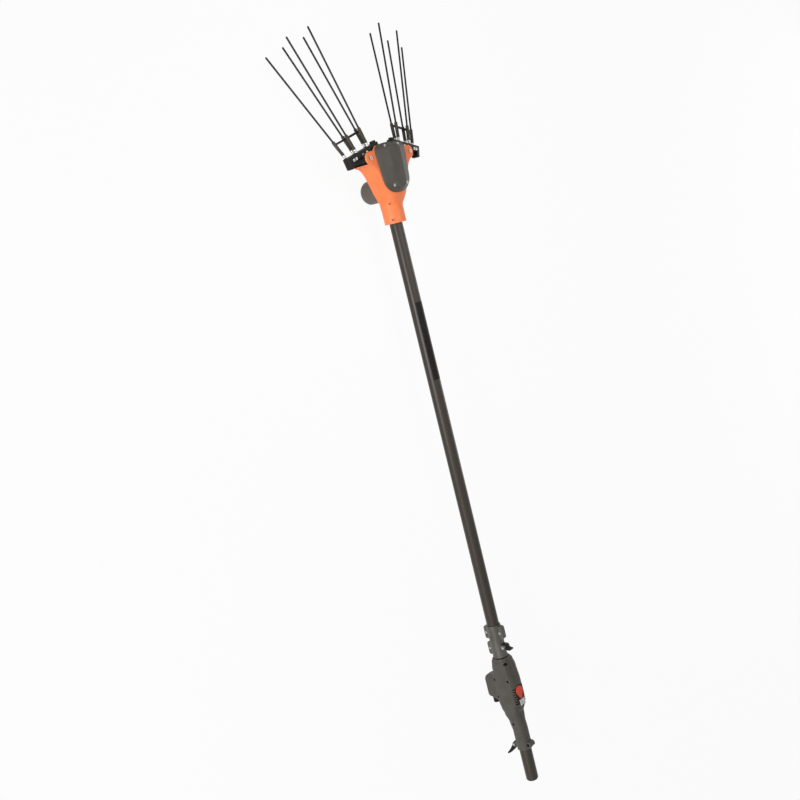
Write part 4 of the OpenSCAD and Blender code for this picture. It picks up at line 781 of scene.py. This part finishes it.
def switch():
    panel = prism(panel_plan(0), -3, 2, AT_PANEL, 0.8)
    cut(panel, prism(drop_plan(36.8, 28.8), -6, 10, AT_BUTTON, 0, 1),
        block((-28.15, -11, 1.2), (-11.15, 11, 12), AT_PANEL))
    piece(panel, "switch_panel_bezel", "switch_panel")
    piece(slab((-28.1, -10.95, 1.2), (-11.2, 10.95, 2.8), AT_PANEL, 0.5), "status_window_lens", "status_window")

    outline, brim, crown_x = drop_plan(36, 28), 2.4, 4
    rings = [(0.5, -2.0), (0, -1.5), (0, brim)]
    for k in range(1, 7):
        t = math.pi / 2 * k / 6
        rings.append((1.6 * (1 - math.cos(t)), brim + math.sin(t)))
    sides = [[(x, y, h) for x, y in (inset(outline, by) if by else outline)] for by, h in rings]
    shoulder = sides[-1]
    for k in range(1, 7):
        f = 1 - 0.75 * k / 6
        sides.append([(crown_x + (x - crown_x) * f, y * f, h + 1.1 * math.sin(math.pi / 2 * k / 6))
                      for x, y, h in shoulder])
    cap = loft([[AT_BUTTON @ Vector(v) for v in ring] for ring in sides])
    piece(add(cap, rod(AT_BUTTON, -10, -1, 8)), "switch_button_cap", "switch_button", 50)


def power_inlet():
    """Socket with two grooves round its collar and two contact holes in its floor."""
    x0, r, groove, mouth, socket = 231.0, 9.5, 8.9, 7.5, 6.5
    profile = [(mouth, 0), (r, 0), (r, 3), (groove, 3.4), (groove, 4.2), (r, 4.6), (r, 7.4), (groove, 7.8),
               (groove, 8.6), (r, 9), (r, 23), (socket, 23), (socket, 9), (mouth, 9)]
    radii = [0.5, 0.8] + [0.15] * 8 + [0.5, 0.3, 0.2, 0.2]
    inlet = lathe(soften([(p, x0 + h) for p, h in profile], radii), AT_INLET, 72)
    add(inlet, rod(AT_INLET, x0 + 15, x0 + 23, 13.4, 0.1))
    for y in (-3, 3):
        cut(inlet, bore(Matrix.Translation((0, y, 0)) @ AT_INLET, x0, x0 + 25, 2.5, 20))
    piece(inlet, "power_inlet_socket", "power_inlet")


# Head

def bend(points, steps=14):
    """Smooth curve from the first point to the last, drawn towards those between."""
    out, n = [], len(points)
    for i in range(1, n - 1):
        a = Vector(points[0]) if i == 1 else (Vector(points[i - 1]) + Vector(points[i])) / 2
        b = Vector(points[-1]) if i == n - 2 else (Vector(points[i]) + Vector(points[i + 1])) / 2
        out += [curve(a, Vector(points[i]), b, j / steps) for j in range(steps)]
    return out + [Vector(points[-1])]


def arc(centre, r, start, stop, steps):
    angles = (math.radians(start + (stop - start) * k / steps) for k in range(steps + 1))
    return [Vector((centre[0] + r * math.cos(a), centre[1] + r * math.sin(a))) for a in angles]


# The left half of the head from the front, from its neck round the pivot's lobe to its lip
PIVOT = (168.0, 78.0)
LOBE = arc(PIVOT, 17, 160, 20, 28)
HEAD_PLAN = bend([(-5.5, 29), (44, 29), (64, 37), (107, 51.5), (144, 68), LOBE[0]]) + LOBE[1:] + [
    Vector((186, 61)), Vector((196.5, 50))]
# Squareness of the sections above and below their middle
UP_N = ((36, 2), (44, 2.2), (64, 3.4), (84, 6), (107, 12), (168, 16))
DOWN_N = ((36, 2), (44, 2.2), (64, 3.2), (84, 4), (148, 4.4), (160, 14), (168, 16))
HEAD_SCREWS = ((94.08, 28.86, 32), (4.84, 23.2, 7.54), (47.08, 25.52, 11.02))
AT_PIVOT = AT_HEAD @ Matrix.Translation((*PIVOT, 0))


def along(table, x):
    """Straight-line value of a table at x."""
    if x <= table[0][0]:
        return table[0][1]
    for (x0, v0), (x1, v1) in zip(table, table[1:]):
        if x <= x1:
            return v0 + (v1 - v0) * (x - x0) / (x1 - x0)
    return table[-1][1]


def smooth_between(x, x0, x1):
    t = min(1, max(0, (x - x0) / (x1 - x0)))
    return t * t * (3 - 2 * t)


def head_section(p):
    top = 29 + 9 * smooth_between(p[0], 36, 64)
    low = -29 + 3 * smooth_between(p[0], 36, 54)
    ring = power_ring(p[0], p[1], top, low, along(UP_N, p[0]), along(DOWN_N, p[0]), 112)
    return [AT_HEAD @ v for v in ring]


def cavity(wall, z0, z1):
    """Room for the gears, a wall's width inside the head's plan."""
    plan = [tuple(p) for p in HEAD_PLAN]
    side = [(x, along(plan, x) - wall) for x in (*range(76, 156, 4), 155)]
    outline = side + [(x, -y) for x, y in side[::-1]]
    return loft([[AT_HEAD @ Vector((x, y, z)) for x, y in outline] for z in (z0, z1)])


def head_shells():
    front = loft([head_section(p) for p in HEAD_PLAN])
    cut(front, cavity(9, -18.5, 30.5), cavity(15, -22.5, 34.5),
        block((154, -150, -22.5), (260, 150, 34.5), AT_HEAD), bore(AT_HEAD @ ALONG_X, -8, 66.2, 35.1, 96))
    for side in (1, -1):
        cut(front, bore(AT_HEAD @ Matrix.Translation((PIVOT[0], side * PIVOT[1], 0)), -60, 60, 8.1, 40))
        for x, y, z in HEAD_SCREWS:
            at = AT_HEAD @ Matrix.Translation((x, side * y, z))
            cut(front, bore(at, 0, 60, SCREW_SEAT, 40), bore(at, -18.05, 1))
    rear = copy(front)
    cut(front, block((-20, -200, -100), (260, 200, 0.15), AT_HEAD), block((104.9, -45, 0.1), (181, 45, 80), AT_HEAD))
    cut(rear, block((-20, -200, -0.15), (260, 200, 100), AT_HEAD), bore(AT_MOTOR, -60, 0, 14, 48))
    piece(front, "front_head_moulding", "front_head_shell", 30)
    piece(rear, "rear_head_moulding", "rear_head_shell", 30)


# Across, up and inwards, as shares, for each ring of the gear cover from its foot to its ridge
COVER_ROWS = ((1, 0, 0), (1, 0.1, 0.02), (0.985, 0.19, 0.12), (0.955, 0.235, 0.28), (0.94, 0.255, 0.31),
              (0.475, 0.755, 0.69), (0.465, 0.775, 0.71), (0.402, 0.95, 0.84), (0.39, 0.975, 0.87),
              (0.37, 0.995, 0.99), (0.345, 1, 1.1))


def cover():
    """Gear cover: a low wall round its foot, sloping flanks with crisp creases and a flat ridge."""
    tip, length, w, rise, foot = 70.0, 127.0, 57.0, 18.0, 38
    mid, half = tip + length / 2, length / 2

    def at(s):
        return (tip + s[0] * length, s[1] * w)

    left = bend([at(s) for s in ((1.035, 0.02), (1.03, 0.5), (0.98, 0.97), (0.9, 1))], 12) + bend(
        [at(s) for s in ((0.84, 0.995), (0.315, 0.9), (0.16, 0.82), (0, 0.4), (0, 0.02))], 12)
    loop = [Vector((p.x, -p.y)) for p in left[::-1]] + left

    def rings(wall, base, rows):
        out = []
        for sy, sz, sx in rows:
            draw = wall + 10 * sx
            out.append([AT_HEAD @ Vector((mid + (p.x - mid) * (1 - draw / half), p.y * sy * (1 - wall / w),
                                          base + sz * (rise - wall))) for p in loop])
        return out

    shell = loft(rings(0, foot, COVER_ROWS))
    cut(shell, loft(rings(2.5, 37.9, [COVER_ROWS[i] for i in (0, 3, 5, 9)])))
    for side in (1, -1):
        for s, z in (((0.953, 0.44), 0.45), ((0.15, 0.44), 0.55)):
            x, y = at(s)
            place = AT_HEAD @ Matrix.Translation((x, side * y, foot + z * rise))
            cut(shell, bore(place, -20, 1), bore(place, 0, 20, SCREW_SEAT, 40))
    piece(shell, "gear_cover_moulding", "gear_cover", 14)


def motor():
    r, low, edge, wall, rim = 31.0, -78.0, 12.0, 2.5, -26
    k = edge * 0.35
    outside = soften([(r, rim), (r, low + edge), (r - k, low + k), (r - edge, low), (0, low)],
                     [0, 2.0, 2.0, 2.0, 0], 4, closed=False)
    inside = soften([(0, low + wall), (r - edge - wall, low + wall), (r - wall, low + edge + wall), (r - wall, rim)],
                    [0, 1, 1, 0], 2, closed=False)
    piece(lathe(outside + inside, AT_MOTOR, 96), "motor_cap_spun", "motor_cap")


# Combs

BAR_HALF = 58
AT_BAR = AT_HEAD @ Matrix.Translation((*PIVOT, 15.5)) @ Matrix.Rotation(math.radians(15), 4, "Z") \
    @ Matrix.Rotation(math.radians(-5.5), 4, "X")
STATIONS = [s * BAR_HALF for s in (-0.426, 0.331, 0.859)]
BAR_SCREWS = [s * BAR_HALF for s in (-0.9, -0.66, -0.16, 0.1, 0.56, 0.72)]
# Each tine's station along the bar, and its row: 1 above, -1 below
TINES = ((0, 1), (0, -1), (1, 1), (1, -1), (2, -1))


def at_tine(station, row):
    return AT_BAR @ Matrix.Translation((26, STATIONS[station], row * 5.5)) \
        @ Matrix.Rotation(math.radians(-1.6 + station * 5.95), 4, "Z") \
        @ Matrix.Rotation(math.radians(6.4 if row > 0 else 10.5), 4, "Y") @ ALONG_X


def comb_bar():
    """The left bar with its hub and the forked arm that the crank's roller runs in."""
    bar = slab((10, -BAR_HALF, -10), (26, BAR_HALF, 10), AT_BAR, 0.9)
    add(bar, slab((-4, 48, -10), (26, BAR_HALF, 10), AT_BAR, 0.9),
        rod(AT_BAR @ Matrix.Translation((0, -50, 0)) @ ALONG_X, 15, 31, 16, 1.2),
        rod(AT_PIVOT, -22.1, 34.1, 24, 0.8, 64))
    crank_y = 22.0
    crank = (MOTOR_X + math.sqrt(50 ** 2 - crank_y ** 2), crank_y)
    away = Vector(crank) - Vector(PIVOT)
    reach, turn = away.length, math.atan2(away.y, away.x)
    arm = AT_PIVOT @ Matrix.Rotation(turn, 4, "Z")
    add(bar, slab((0, -6, 8), (0.8 * reach + 3, 6, 17), arm, 0.7),
        slab((0.8 * reach, -8.95, 8), (reach + 11.5, 8.95, 17), arm, 0.7))
    cut(bar, block((reach - 4.75, -4.95, 7), (reach + 60, 4.95, 18), arm), bore(AT_PIVOT, -30, 40, 8.3, 48),
        bore(AT_PIVOT, -30, -10.1, 12.1, 48), bore(AT_PIVOT, 22.1, 40, 12.1, 48))
    for t in TINES:
        cut(bar, bore(at_tine(*t), -10.05, 12, 5.1))
    for y in BAR_SCREWS:
        cut(bar, bore(AT_BAR @ Matrix.Translation((15, y, 10)), -6.05, 2))
    return bar


def combs():
    """The left comb, and the right one as its mirror."""
    bar = comb_bar()
    tines, sleeves, ferrules = [], [], []
    tine_r, sleeve_r, hole_r = 2.5, 4.4, 2.55
    ribs = [(hole_r, 10), (sleeve_r - 0.4, 10), (sleeve_r, 10.5)]
    for k in range(4):
        h = 16 + 2.6 * k
        ribs += [(sleeve_r, h), (sleeve_r - 0.45, h + 0.5), (sleeve_r - 0.45, h + 1.1), (sleeve_r, h + 1.6)]
    ribs += [(sleeve_r, 50.6), (sleeve_r - 0.7, 51.8), (sleeve_r - 1.2, 52), (hole_r, 52)]
    ferrule = soften([(hole_r, 1), (4, 1), (4, 3.4), (3.5, 3.8), (3.5, 5.4), (4, 5.8), (4, 10), (hole_r, 10)], 0.3, 2)
    for t in TINES:
        place, end = at_tine(*t), (326 if t[1] > 0 else 310)
        tip = [(tine_r * math.cos(a), end - tine_r + tine_r * math.sin(a))
               for a in (math.pi / 2 * k / 6 for k in range(6))] + [(0, end)]
        tines.append(lathe([(0, -10), (2.3, -10), (tine_r, -9.6), (tine_r, end * 0.5)] + tip, place, 24))
        sleeves.append(lathe(ribs, place, 40))
        ferrules.append(lathe(ferrule, place, 40))
    for made, what in ((bar, "comb_bar"), (join(tines), "tines"), (join(sleeves), "tine_sleeves"),
                       (join(ferrules), "tine_ferrules")):
        other = copy(made, MIRROR)
        piece(made, "left_%s_detailed" % what, "left_" + what)
        piece(other, "right_%s_detailed" % what, "right_" + what)


look()
pale_floor()
surround()
lights()
for name, node in nodes.items():
    finish_here = look_of[slot_of[name]]
    if node.material_slots:
        for s in node.material_slots:
            s.material = finish_here
    else:
        node.data.materials.append(finish_here)
poles()
coils()
levers_and_clamp()
handle_shells()
switch()
power_inlet()
head_shells()
cover()
motor()
combs()
